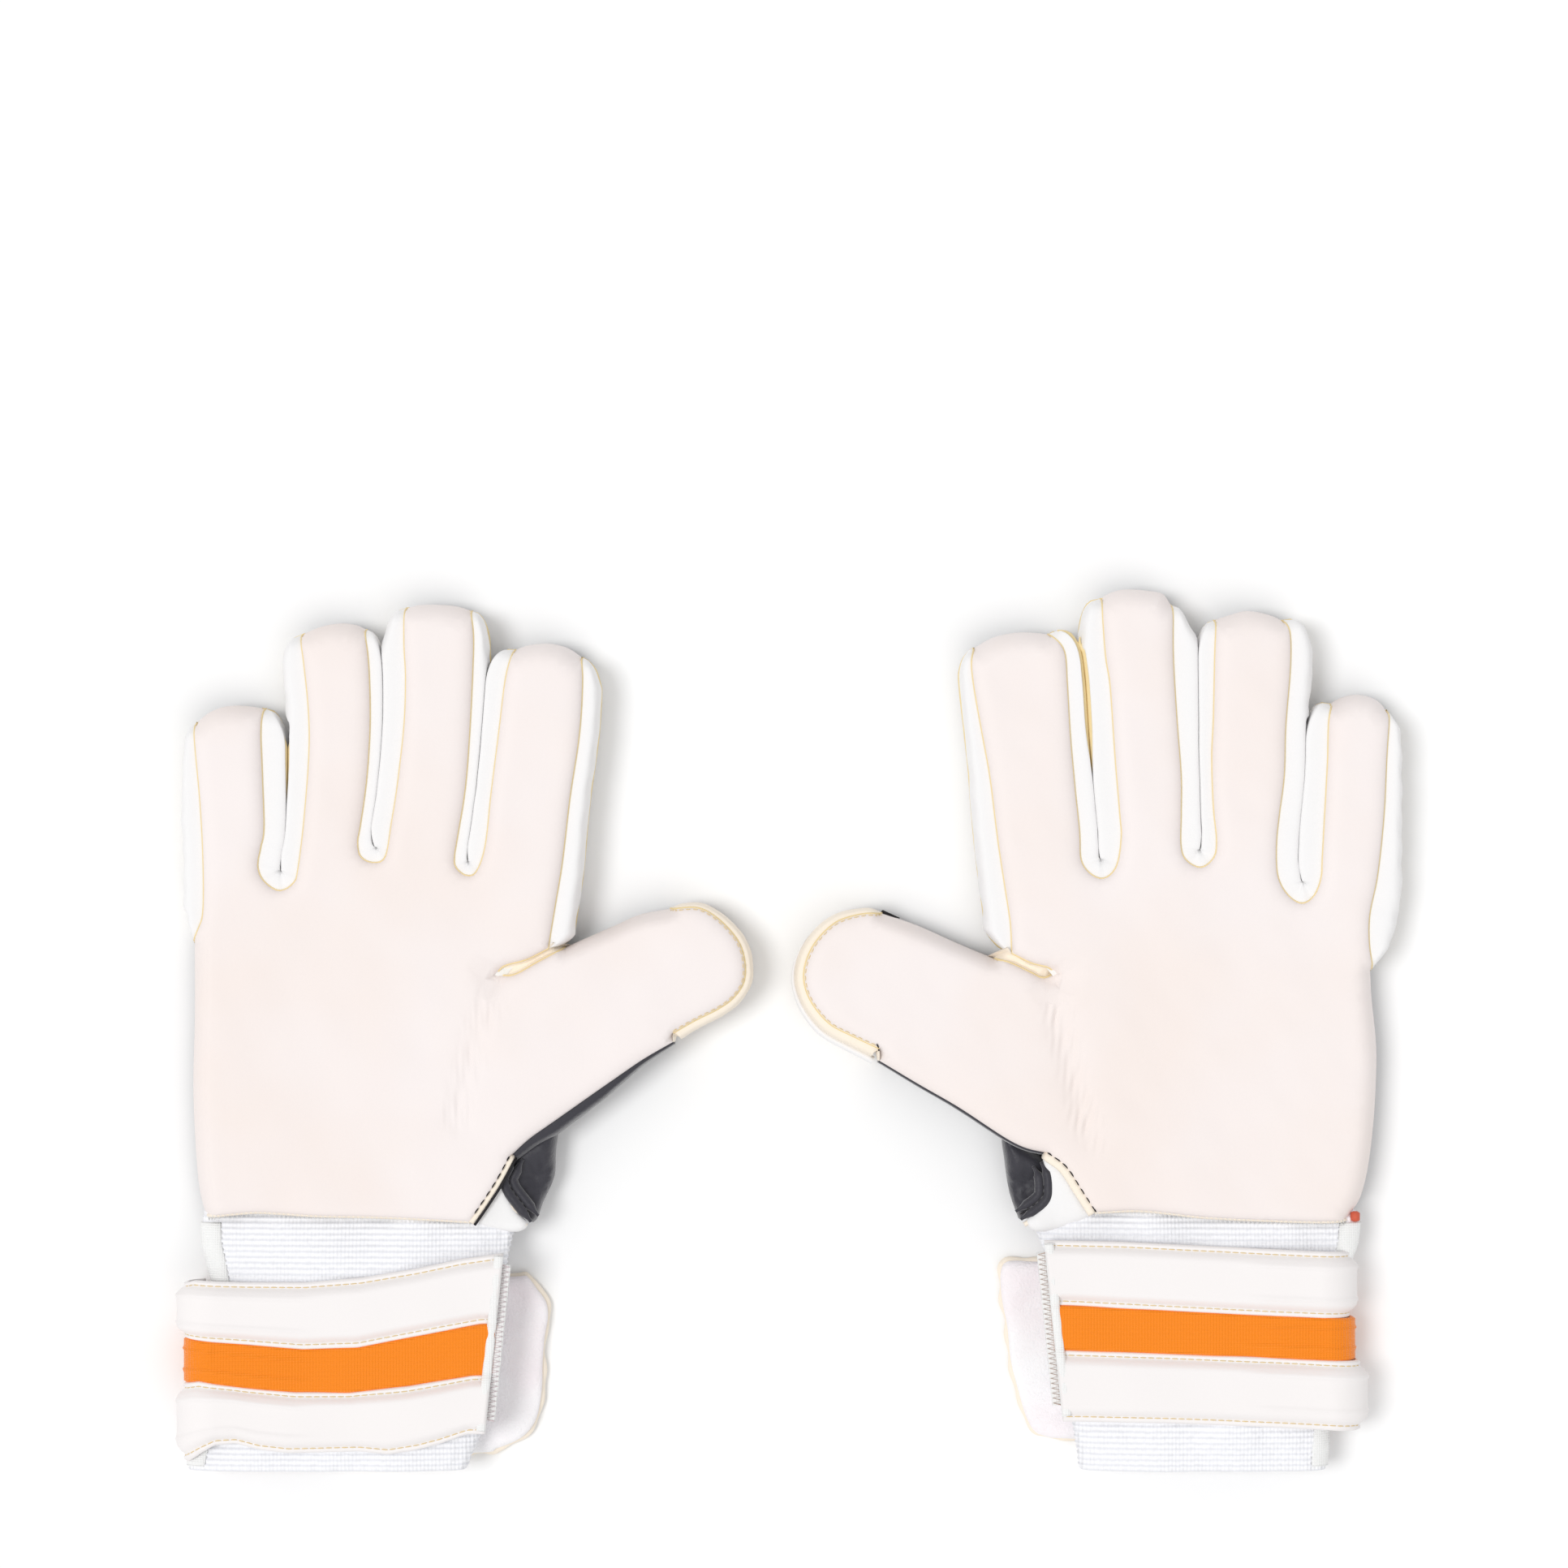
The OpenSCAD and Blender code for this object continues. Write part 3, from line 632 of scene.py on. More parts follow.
ORANGE = material("orange_elastic", (250, 136, 6), .5, [("Y", 500, .1), ("X", 330, .1)], .1)
STRAP = material("strap_latex", (241, 237, 236), .7, [("noise", 1100, .05), ("noise", 60, .2)], .1)
LOOP = material("loop_pile", (232, 232, 232), .95, [("noise", 1600, .35)], .5)
CREAM = material("closure_latex", (247, 236, 220), .7, [("noise", 900, .08)], .1)
HOOK = material("hook_pile", (251, 251, 252), .95, [("noise", 1300, .35), ("noise", 220, .3)], .4,
                tint=((248, 240, 243), 30))
GOLD = material("seam_foam", (238, 217, 166), .75, [("noise", 1200, .1)])
BLACK = material("black_thread", (34, 32, 34), .7)
WHITE = material("white_thread", (246, 245, 243), .7)
THREAD = material("sewing_thread", (224, 201, 152), .7)
MAUVE = material("overlock_thread", (228, 210, 214), .75)
BROWN = material("brown_overlock_thread", (201, 178, 166), .75)
TAG = material("side_tag", (206, 96, 70), .6, [("noise", 900, .1)])


# ---- one glove's surfaces ----------------------------------------------------------------------


class Glove:
    """The outline, the sewn lines and the heights of one glove's front and back."""

    def __init__(self, side):
        self.side = side
        g = self.data = GLOVES[side]
        order = [("side", g["side"]), ("seam", g["outer"]), ("tip", g["tips"][0])]
        for k in range(3):
            order += [("seam", g["gaps"][k]), ("tip", g["tips"][k + 1])]
        order += [("seam", g["inner"]), ("seam", g["dart"][0]), ("seam", g["dart"][1]),
                  ("thumb_top", g["thumb_top"]), ("seam", g["thumb_tip"]), ("seam", g["thumb_low"]),
                  ("edge", g["notch"]), ("edge", g["wrist"])]
        self.curves = [(kind, spline(p)) for kind, p in order]
        self.outline = np.vstack([c[:-1] if np.allclose(c[-1], n[0]) else c
                                  for (_, c), (_, n) in zip(self.curves, self.curves[1:] + self.curves[:1])])
        self.crease = spline(g["crease"], 2)

    def crown(self, p):
        """Height of the front's middle at each 2-D point."""
        x, y = p[:, 0], p[:, 1]
        seed = 3 if self.side == "right" else 8
        top = PALM_CROWN + FINGER_RISE * smooth((y - 96) / 26)
        top = top + .28 * waves(x, y, seed, 34) + .12 * waves(x, y, seed + 1, 15)
        top -= 1.0 * np.exp(-((x + 2) ** 2 + (y - 42) ** 2) / 1500)
        away = distance(p, self.crease)
        depth = self.data["crease_depth"]
        strength = np.exp(-(away / 4.5) ** 2)
        ripples = waves(x + .1 * y, y * .2, seed + 2, 2.1) * np.exp(-(away / 5) ** 2)
        fade = smooth((y - 14) / 20)
        top -= fade * (depth * strength + .3 * depth * ripples)
        apex = np.array(self.data["dart"][1][0])
        top -= 2.6 * np.exp(-((x - apex[0]) ** 2 + (y - apex[1] + 1) ** 2) / 14)
        return top

    def to_edges(self, p, kinds):
        """Distance from each 2-D point to the nearest line of the outline of these kinds."""
        return np.min([distance(p, line) for kind, line in self.curves if kind in kinds], axis=0)

    def turned(self, p, front):
        """How far the surface has turned away from its middle at each 2-D point."""
        total = np.zeros(len(p))
        for kind, (front_drop, front_reach, back_rise, back_reach) in TURNS.items():
            near = self.to_edges(p, [kind])
            drop, reach = (front_drop, front_reach) if front else (back_rise, back_reach)
            total += (drop * (1 - roll(near / reach))) ** 2.2
        return total ** (1 / 2.2)

    def front_z(self, p):
        """Height of the front at each 2-D point."""
        return self.crown(p) - self.turned(p, True)

    def on_front(self, p, rise=0.0):
        """2-D points laid on the front, or that far above it."""
        return np.column_stack([p, self.front_z(p) + rise])

    def back_z(self, p):
        """Height of the back at each 2-D point."""
        return BACK_CROWN + np.minimum(self.turned(p, False), 8)

    def deep_rim(self, count):
        """Which of the outline's first count points have the front and back meeting there."""
        near = self.to_edges(self.outline[:count], ["tip", "side", "thumb_top"])
        return np.flatnonzero(near < .05)

    def owners(self, p):
        """The digit that each 2-D point of the front or back belongs to."""
        found = np.full(len(p), HAND)
        best = np.full(len(p), 1e9)
        for o in range(4):
            at, way = bend_frame(self.side, o)
            off = p[:, :2] - at
            across = np.abs(off @ np.array([way[1], -way[0]]))
            ok = (off @ way > -BLEND_REACH - 1) & (across < best) & (across < 22)
            found[ok], best[ok] = o, across[ok]
        at, way = bend_frame(self.side, THUMB)
        (x0, y0), (x1, y1) = self.data["dart"][1][0], self.data["dart"][1][-1]
        under = p[:, 1] < y0 + .1 + (p[:, 0] - x0) * (y1 - y0) / (x1 - x0) + 2.5 * (p[:, 0] > x1)
        under |= p[:, 0] > x1 + 12
        past = (p[:, :2] - at) @ way > -BLEND_REACH - 1
        found[under & past & (p[:, 1] < 104)] = THUMB
        return found


def front_and_back(glove):
    """The latex skins of the palm's side and the back, each cut at the bends."""
    flat, faces = region(glove.outline, [.25, .7, 1.4, 2.4, 3.7, 5.3, 7.2], 2.4, (glove.crease, 6, .7))
    nodes = {HAND: "palm_foam", **{o: digit(o) + "_front" for o in range(5)}}
    split(glove.side, (glove.on_front(flat), faces), glove.owners(flat), "palm_skin", "front_skin", PALM,
          "palm_latex", nodes)
    flat, faces = region(glove.outline, [.3, .9, 1.8, 2.7, 3.5, 4.2, 5], 1.7)
    verts = np.column_stack([flat, glove.back_z(flat) - embossed(glove, flat)])
    rim = glove.deep_rim(len(glove.outline))
    verts[rim, 2] = glove.front_z(flat[rim])
    nodes = {HAND: "back_panel", **{o: digit(o) + "_back" for o in range(5)}}
    split(glove.side, (verts, [f[::-1] for f in faces]), glove.owners(flat), "back_skin", "back_skin", BACK,
          "back_latex", nodes)


def embossed(glove, p):
    """The back's raised pads, in mm outwards."""
    edge = glove.to_edges(p, TURNS)
    groove = np.exp(-((edge - 4.2) / .55) ** 2)
    owner = glove.owners(p)
    for o in range(5):
        at, way = bend_frame(glove.side, o)
        off = p[:, :2] - at
        along, across = off @ way, np.abs(off @ np.array([way[1], -way[0]]))
        for place in (-16, 4, 22, 40):
            line = np.exp(-((along - place) / .6) ** 2) * (across < 17) * (edge > 4.2)
            groove = np.maximum(groove, line * (owner == o) if place > 0 else line * (o < 4))
    return -.75 * groove


def gusset_line(line, kind, glove, gap=None):
    """The gusset sewn along a line of the outline: (the way it stands out, how far it stands out when
    nothing touches it, how far away its neighbour is, how deep it puckers) at each point."""
    g = glove.data
    s = lengths(line)
    out = outward(line)
    shoulder = 5.5 if gap is None else 13
    taper = np.sqrt(1 - (1 - np.clip(from_ends(line) / shoulder, 0, 1)) ** 2)
    if gap is None:
        table = np.array(sorted(g[kind + "_bulge"]))
        return out, np.interp(line[:, 1], table[:, 0], table[:, 1]) * taper, 99 + 0 * s, 0 * s
    low = int(np.argmin(line[:, 1]))
    first, second = line[:low + 1], line[low:]
    half = .25 * (second[np.argmin(abs(second[:, 1] - line[low, 1] - 8)), 0]
                  - first[np.argmin(abs(first[:, 1] - line[low, 1] - 8)), 0])
    centre = np.array([line[low, 0], line[low, 1] + 2 * half])
    opens_at, opening, _ = g["gap_open"].get(gap, (0, 0, 0))
    free, room = np.zeros(len(line)), np.zeros(len(line))
    for i, (x, y) in enumerate(line):
        before = i <= low
        other = second if before else first
        most = g["gap_bulge"][gap][0 if before else 1]
        share = g["gap_share"][gap] if before else 1 - g["gap_share"][gap]
        contact = share * abs(other[np.argmin(abs(other[:, 1] - y)), 0] - x)
        over = smooth((y - other[:, 1].max() + 12) / 12)
        past = smooth((y - other[:, 1].max() + 3) / 5)
        room[i] = contact - .06 - .5 * opening * smooth((y - opens_at) / OPENING_RISE) + 12 * past
        free[i] = SQUEEZE * contact * (1 - over) + most * over
    to_centre = centre - line
    reach = np.linalg.norm(to_centre, axis=1)
    turn = 1 - smooth((line[:, 1] - centre[1]) / 5)
    free = free * (1 - turn) + SQUEEZE * reach * turn
    room = room * (1 - turn) + (reach - .18) * turn
    out = out * (1 - turn)[:, None] + to_centre / reach[:, None] * turn[:, None]
    out /= np.linalg.norm(out, axis=1)[:, None]
    kernel = np.ones(5) / 5
    free, room = (np.convolve(np.pad(v, 2, mode="edge"), kernel, "valid") for v in (free, room))
    return out, free * taper, room * taper, turn


def gusset(glove, line, out, free, room=99.0, pucker=0.0, lift=1.7, crumple=.25, columns=EDGE_COLUMNS,
           seed=1):
    """The padded wall between the front's and the back's seams along a line."""
    s = lengths(line)
    front, back = glove.front_z(line) - .15, glove.back_z(line)
    middle, half = (front + back) / 2, np.maximum((front - back) / 2, .2)
    room, pucker = np.broadcast_to(room, s.shape), np.broadcast_to(pucker, s.shape)
    a = np.linspace(0, math.pi, columns)
    verts = []
    for i in range(len(line)):
        wrinkle = waves(np.full(columns, s[i]), a * 9, seed, 9) * crumple * np.sin(a) * min(1, free[i] / 4)
        far = np.minimum((free[i] + .15) * np.sin(a) ** .55 + wrinkle, room[i])
        z = middle[i] + half[i] * np.cos(a) + lift * min(1, free[i] / 5) * np.sin(2 * a)
        z -= PUCKER_DEPTH * pucker[i] * np.sin(a) * (1 + math.sin(2 * math.pi * s[i] / PUCKER_SPACING))
        verts.append(np.column_stack([line[i, 0] + out[i, 0] * far, line[i, 1] + out[i, 1] * far, z]))
    return np.vstack(verts), grid_faces(len(line), columns)


def finger_gussets(glove):
    """(kind, line, out, free, room, pucker, owner of each point) for each gusset of the fingers."""
    found = []
    for gap in range(3):
        line = spline(glove.data["gaps"][gap], 1.1)
        low = int(np.argmin(line[:, 1]))
        owner = np.where(np.arange(len(line)) <= low, gap, gap + 1)
        found.append(("crotch_gussets", line, *gusset_line(line, "gap", glove, gap), owner))
    for name, o in (("outer", 0), ("inner", 3)):
        line = spline(glove.data[name], 1.1)
        found.append(("side_gussets", line, *gusset_line(line, name, glove), np.full(len(line), o)))
    return found


def gussets(glove):
    """The padded white walls between the fingers and beside the little and the index finger."""
    for hand in ("crotch_gussets", "side_gussets"):
        parts, owners = [], []
        for k, (kind, line, out, free, room, pucker, owner) in enumerate(finger_gussets(glove)):
            if kind == hand:
                parts.append(gusset(glove, line, out, free, room, pucker, columns=GUSSET_COLUMNS,
                                    seed=20 + k))
                owners.append(np.repeat(owner, GUSSET_COLUMNS))
        nodes = {HAND: hand, **{o: FINGERS[o] + "_gussets" for o in range(4)}}
        split(glove.side, join(parts), np.concatenate(owners), hand + "_pad", hand.split("_")[0] + "_pad",
              GUSSET, "gusset_fabric", nodes)


def seams(glove):
    """Thin rolled foam edges that show in the front's seams, and thicker ones in the back's."""
    front, front_owners, back, back_owners = [], [], [], []

    def add_front(line, owner, radius, sides=6):
        front.append(tube(line, radius, sides))
        front_owners.append(np.repeat(np.broadcast_to(owner, len(line)), sides))

    for _, line, out, free, room, _, owner in finger_gussets(glove):
        add_front(glove.on_front(line), owner, .29)
        off = np.minimum(.9 * free, room - .9)[:, None] * out
        thick = .8 * np.clip(free / 4, .3, 1)
        back.append(tube(np.column_stack([line + off, glove.back_z(line) + 2.2]), thick))
        back_owners.append(np.repeat(owner, 6))
    for gap in glove.data["gap_open"]:
        for line, o, thick in opened_edges(glove, gap):
            add_front(line, o, thick, 8)
    for points, o in ((glove.data["thumb_tip"], THUMB), (glove.data["dart"][0], HAND),
                      (glove.data["dart"][1], THUMB)):
        add_front(glove.on_front(spline(points, 1.1)), o, .36)
    split(glove.side, join(front), np.concatenate(front_owners), "seam_edges", "seam_edges", GOLD)
    split(glove.side, join(back), np.concatenate(back_owners), "back_seam_edges", "back_seam_edges", GOLD)


def opened_edges(glove, gap):
    """(3-D line, finger, thickness) of the foam edges that show where two fingers part."""
    opens_at, opening, foam_top = glove.data["gap_open"][gap]
    _, line, out, free, room, _, owner = finger_gussets(glove)[gap]
    width = opening * smooth((line[:, 1] - opens_at) / OPENING_RISE)
    thick = .3 * opening + .45
    p = line + np.minimum(free, room + .5 * width - thick + .05)[:, None] * out
    for o in (gap, gap + 1):
        shown = (owner == o) & (line[:, 1] > opens_at + 1) & (line[:, 1] < foam_top) & (free > 3)
        edge = np.column_stack([p[shown], np.full(shown.sum(), OPENED_Z)])
        yield edge, o, thick * np.clip(from_ends(edge) / 4, .2, 1)


def share_of(line, table):
    """The value at each point of a line from a table of (share of the length, value)."""
    u = lengths(line)
    return np.interp(u / u[-1], *zip(*table))


def outward(line):
    """The way out of the glove at each point of a line of the outline."""
    along = np.gradient(line, axis=0)
    along /= np.linalg.norm(along, axis=1)[:, None]
    return np.column_stack([-along[:, 1], along[:, 0]])


def wall_end(line):
    """The face that closes a thin gusset at the end of its line."""
    return tuple((len(line) - 1) * EDGE_COLUMNS + k for k in range(EDGE_COLUMNS))


def beside(line, off, z):
    """A line of the outline moved outwards by off, at height z."""
    return np.column_stack([line + off * outward(line), np.broadcast_to(z, len(line))])


def thumb_edges(glove):
    """The cream wrap round the thumb's tip, the dark wall under its lower edge, and the notch's edges."""
    side, g = glove.side, glove.data
    tip = spline(g["thumb_tip"], 1.1)
    step = even(np.array([g["thumb_tip"][-1], g["thumb_low"][0]]), .8)
    wrapped = np.vstack([tip, step[1:]])
    wrap = share_of(tip, g["wrap_width"])
    width = np.concatenate([wrap - .15, np.linspace(1, .5, len(step) - 1)])
    verts, faces = gusset(glove, wrapped, outward(wrapped), width, lift=.7, crumple=.12, seed=41)
    split(side, (verts, faces + [wall_end(wrapped)]), THUMB, None, "tip_wrap", CREAM, "closure_latex",
          {THUMB: "thumb_front"})
    backing = share_of(tip, g["wrap_backing"])
    shown = backing > .1
    if shown.any():
        off = tip + outward(tip) * (wrap + .4 * backing)[:, None]
        line = np.column_stack([off, 8.5 + 1.5 * backing])[shown]
        split(side, tube(line, .75 * backing[shown], 10, 1.7), THUMB, None, "tip_backing", GUSSET,
              "gusset_fabric")

    low = spline(g["thumb_low"], 1.1)
    width = share_of(low, g["dark_width"])
    verts, faces = gusset(glove, low, outward(low), width, lift=.4, crumple=.1, seed=42)
    faces += [tuple(range(EDGE_COLUMNS))[::-1], wall_end(low)]
    split(side, (verts, faces), THUMB, "thumb_gore_wall", "gusset_wall", DARK, "dark_fabric",
          {HAND: "thumb_gore", THUMB: "thumb_gusset"})

    upper, lower = (spline(line, 1.1) for line in g["dart"])
    parts, owner = [], []
    for line, o in ((upper, HAND), (lower, THUMB)):
        free = 1.1 * np.clip(from_ends(line) / 6, .15, 1)
        parts.append(gusset(glove, line, outward(line), free, lift=.5, crumple=.1, columns=11, seed=43))
        owner.append(np.full(len(parts[-1][0]), o))
    parts.append(tuck(glove, np.vstack([upper[::-1], upper[0] + [1.6, 2]]),
                      np.vstack([lower, lower[-1] + [1.8, .8]])))
    owner.append(np.full(len(parts[-1][0]), THUMB))
    split(side, join(parts), np.concatenate(owner), "notch_edge", "notch_edge", CREAM, "closure_latex")


def tuck(glove, upper, lower, rows=7, columns=30):
    """The hollow of turned-in foam between the two edges of the notch beside the thumb."""
    u = np.linspace(0, 1, columns)
    first, second = (np.column_stack([np.interp(u, lengths(e) / lengths(e)[-1], e[:, k]) for k in (0, 1)])
                     for e in (upper, lower))
    top, under = [], []
    for t in np.linspace(0, 1, rows):
        p = first * (1 - t) + second * t
        z = glove.front_z(first) * (1 - t) + glove.front_z(second) * t
        z -= .5 + TUCK_DEPTH * math.sin(math.pi * t)
        top.append(np.column_stack([p, z]))
        under.append(np.column_stack([p, z - 2]))
    return slab_between(np.vstack(top), np.vstack(under), rows, columns)


def pillow(outline, rim_z, up, down, reach, spacing, bumps, seed=5):
    """A closed padded shape that stands up over its rim's height and hangs down under it, with its edges
    rounded over reach."""
    rim = even(np.vstack([outline, outline[:1]]), 1.2)
    flat, faces = region(rim[:-1], [.3, .9, 1.8, 3], spacing)
    rise = roll(distance(flat, rim) / reach)
    uneven = 1 + bumps * waves(flat[:, 0], flat[:, 1], seed, 16)
    top = np.column_stack([flat, rim_z + up * rise * uneven])
    under = np.column_stack([flat, rim_z - down * rise])
    return join([(top, faces), (under, [f[::-1] for f in faces])])


def loop(points):
    """A smooth closed outline through points."""
    return spline(points + points[:1])[:-1]


def gore_and_insert(glove):
    """The dark gore at the thumb's root, the white insert beside it, and the palm's sewn wrist edges."""
    side, g = glove.side, glove.data
    verts, faces = pillow(loop(g["gore"]), 8.5, 7, 7, reach=5, spacing=1.3, bumps=.12, seed=6)
    off = verts[:, :2] - np.array(g["gore_hollow"])
    away, turn = np.linalg.norm(off, axis=1), np.arctan2(off[:, 1], off[:, 0])
    near = np.exp(-(away / 5.5) ** 2) * (verts[:, 2] > 9)
    verts[:, 2] -= near * (3.6 + .8 * np.sin(9 * turn) * np.clip(away / 2, 0, 1))
    ride(side, "thumb_gore_pad", (verts, faces), DARK, "dark_fabric", ["thumb_gore"])
    edge = spline(g["gore"][:6], 1)
    for name, off, radius, z in (("thumb_gore_piping", 1.2, 1.7, 16.8), ("thumb_gore_fold", 4.1, 1.6, 15.9)):
        fade = radius * np.clip(from_ends(edge) / 4, .35, 1)
        ride(side, name, tube(beside(edge, off, z), fade, 12), DARK, "dark_fabric")
    sewn = beside(edge[len(edge) // 3:], 2.7, 17.2)
    ride(side, "thumb_gore_stitches", stitches(sewn, 1.5, .8, .24), BLACK)
    trim = beside(edge, -.9, 16.6)[g["trim_start"]:]
    ride(side, "thumb_gore_trim", tube(trim, .8, 8), CREAM, "closure_latex")
    insert = pillow(loop(g["insert"]), 16.2, 2.3, 2, reach=3, spacing=1.8, bumps=.2, seed=9)
    ride(side, "wrist_insert", insert, GUSSET, "gusset_fabric", ["wrist_notch"])
    notch = spline(g["notch"], 1)
    binding = g["notch_binding"]
    height = glove.front_z(notch)
    edge = beside(notch, .6 * binding, height - .1)
    ride(side, "palm_corner_binding", tube(edge, binding, 10, .8 / binding), CREAM, "closure_latex")
    if g["notch_cord"] > 0:
        ride(side, "palm_corner_cord", tube(beside(notch, g["notch_cord"], height + .2), .42, 8), BLACK)
    ride(side, "palm_corner_stitches", stitches(beside(notch, -.35, height + .8), 2.4, .9, .3), BLACK)
    edge = glove.on_front(spline(g["wrist"], 1), -.2)
    ride(side, "palm_end_seam", tube(edge, .6, 8, .8), CREAM, "closure_latex")
    ride(side, "palm_end_overlock", overlock(edge, .75, (0, .75, 0), (0, -.5, .55), .17), WHITE)
    if "tag" in g:
        x, y = g["tag"]
        outline = rounded((x - 1.9, y - 1.8), (x + 1.2, y + 1.6), .6)
        tag = pillow(outline, 15, 2, 2, reach=1.5, spacing=1, bumps=.1)
        ride(side, "side_tag", tag, TAG)


def sewing(glove):
    """Threads along the thumb's wrap."""
    side, g = glove.side, glove.data
    tip = spline(g["thumb_tip"], 1)
    thread = stitches(glove.on_front(tip - .45 * outward(tip), .1), 1.5, .8, .17)
    split(side, thread, THUMB, None, "tip_stitches", THREAD)
    if side == "left":
        (x0, y0), (x1, y1) = g["thumb_tip"][-1], g["thumb_low"][0]
        line = np.array([(x0 + 1, y0 + 1.6), (x0 + .3, y0 + .2), (x1 + .1, y1 + .4)])
        top = spline(g["thumb_top"], 1)[-7:]
        bit = beside(top, .3, glove.front_z(top) + .2)
        parts = stitches(glove.on_front(line, .5), 1.9, .5, .26), tube(bit, np.linspace(.15, .8, 7), 8)
        split(side, join(parts), THUMB, None, "tip_bartacks", BLACK)


# ---- the wrist ---------------------------------------------------------------------------------


def along_y(table, y, column=1):
    """The value at y from a table whose rows start with y."""
    table = sorted(table)
    return np.interp(y, [t[0] for t in table], [t[column] for t in table])


def band_points(g, y, angle, off):
    """Points round the wristband at y, off mm outside its surface."""
    y = np.full(len(angle), y)
    x0, x1 = (along_y(g["band_x"], y, column) for column in (1, 2))
    z0, z1 = along_y(BAND_LOW, y), along_y(BAND_HIGH, y)
    c, s = np.cos(angle), np.sin(angle)
    x = (x0 + x1) / 2 + ((x1 - x0) / 2 + off) * np.sign(c) * np.abs(c) ** .8
    z = (z0 + z1) / 2 + ((z1 - z0) / 2 + off) * np.sign(s) * np.abs(s) ** .62
    sag = .7 * waves(x, y, 51, 22) * (s > 0) * smooth(s)
    return np.column_stack([x, y, z + sag])


def wristband(glove):
    """The knitted band with its turned-in end and inside, and the tape over its seam."""
    side, g = glove.side, glove.data
    angle = np.arange(KNIT_COLUMNS) * 2 * math.pi / KNIT_COLUMNS
    rows = []
    for y in np.arange(6, -80.6, -.5):
        cells = .6 + .4 * np.sin(angle * KNIT_CELLS + math.pi * (round(y / KNIT_RIB) % 2))
        ribs = .42 * cells * np.cos(2 * math.pi * y / KNIT_RIB)
        ribs += .15 * waves(angle * 30, np.full(KNIT_COLUMNS, y), 52, 6)
        rows.append(band_points(g, y, angle, ribs))
    for y, off in [(-80.9, -.5), (-80.6, -1.6)] + [(y, -2) for y in np.arange(-78, 6, 4.0)]:
        rows.append(band_points(g, y, angle, off))
    faces = [f[::-1] for f in grid_faces(len(rows), KNIT_COLUMNS, True)]
    ride(side, "wristband_knit", (np.vstack(rows), faces), KNIT, "knit", ["wristband"])
    ys = np.arange(-1.5, -80.4, -1)
    wide = np.radians(np.linspace(147, 222, 12))
    outer = np.vstack([band_points(g, y, wide, .75 + .15 * waves(wide * 9, np.full(12, y), 53, 7))
                       for y in ys])
    under = np.vstack([band_points(g, y, wide, -.1) for y in ys])
    ride(side, "wristband_tape_strip", slab_between(outer, under, len(ys), 12), TAPE, "tape",
         ["wristband_tape"])


def slab_between(outer, under, rows, columns):
    """A closed thick sheet from two grids of points."""
    count = rows * columns
    faces = grid_faces(rows, columns)
    faces += [tuple(i + count for i in f[::-1]) for f in faces]
    spots = np.arange(count).reshape(rows, columns)
    rim = np.concatenate([spots[0], spots[1:, -1], spots[-1, -2::-1], spots[-2:0:-1, 0]])
    faces += [(b, a, a + count, b + count) for a, b in zip(rim, np.roll(rim, -1))]
    return np.vstack([outer, under]), faces


def strap_surface(g, top, bottom, turn, profile, columns, seed):
    """Grids of points of a band that crosses the front and turns round the little finger's side.
    profile gives the thickness at each share of the width."""
    (y0, x0), (y1, x1) = g["strap_end"]
    nominal = max(x0, x1)
    v = np.linspace(0, 1, columns)
    thick = profile(v)
    along = np.concatenate([np.linspace(nominal, turn, STRAP_FLAT), np.full(STRAP_TURN, turn)])
    turned = np.concatenate([np.zeros(STRAP_FLAT), np.radians(np.linspace(5, 150, STRAP_TURN))])
    outer, under = [], []
    for x, a in zip(along, turned):
        seen = max(x - (STRAP_RADIUS + 4) * math.sin(min(a, math.pi / 2)), top[0][0])
        ys = np.interp(seen, *zip(*top)) * (1 - v) + np.interp(seen, *zip(*bottom)) * v
        if a == 0:
            shifted = x + (np.interp(ys, [y1, y0], [x1, x0]) - nominal) * (x - turn) / (nominal - turn)
            wavy = .35 * waves(np.full(columns, x), ys, seed, 30)
            under.append(np.column_stack([shifted, ys, FRONT_Z + wavy * .6]))
            outer.append(np.column_stack([shifted, ys, FRONT_Z + thick + wavy + ridges(v, x)]))
        else:
            for off, grid in ((0 * v, under), (thick + ridges(v, x), outer)):
                radius = STRAP_RADIUS + off
                grid.append(np.column_stack([turn - radius * math.sin(a), ys,
                                             FRONT_Z - STRAP_RADIUS + radius * math.cos(a)]))
    return np.vstack(outer), np.vstack(under), len(along)


def ridges(v, x):
    """Two faint raised lines near the little finger's side of a band."""
    fade = smooth((-4 - x) / 14)
    return fade * .5 * (np.exp(-((v - .24) / .03) ** 2) + np.exp(-((v - .72) / .03) ** 2))


def padded_profile(v):
    """Thickness of a foam band with a sewn hem on both sides."""
    hem = .085
    up = smooth((v - hem) / .14) * smooth((1 - hem - v) / .14)
    groove = np.exp(-((v - hem) / .022) ** 2) + np.exp(-((1 - hem - v) / .022) ** 2)
    end = smooth(v / .03) * smooth((1 - v) / .03)
    return .5 + 1.1 * end + 2.3 * up ** .6 - .5 * groove


def flat_profile(v):
    return .6 + 1.0 * smooth(v / .04) * smooth((1 - v) / .04)


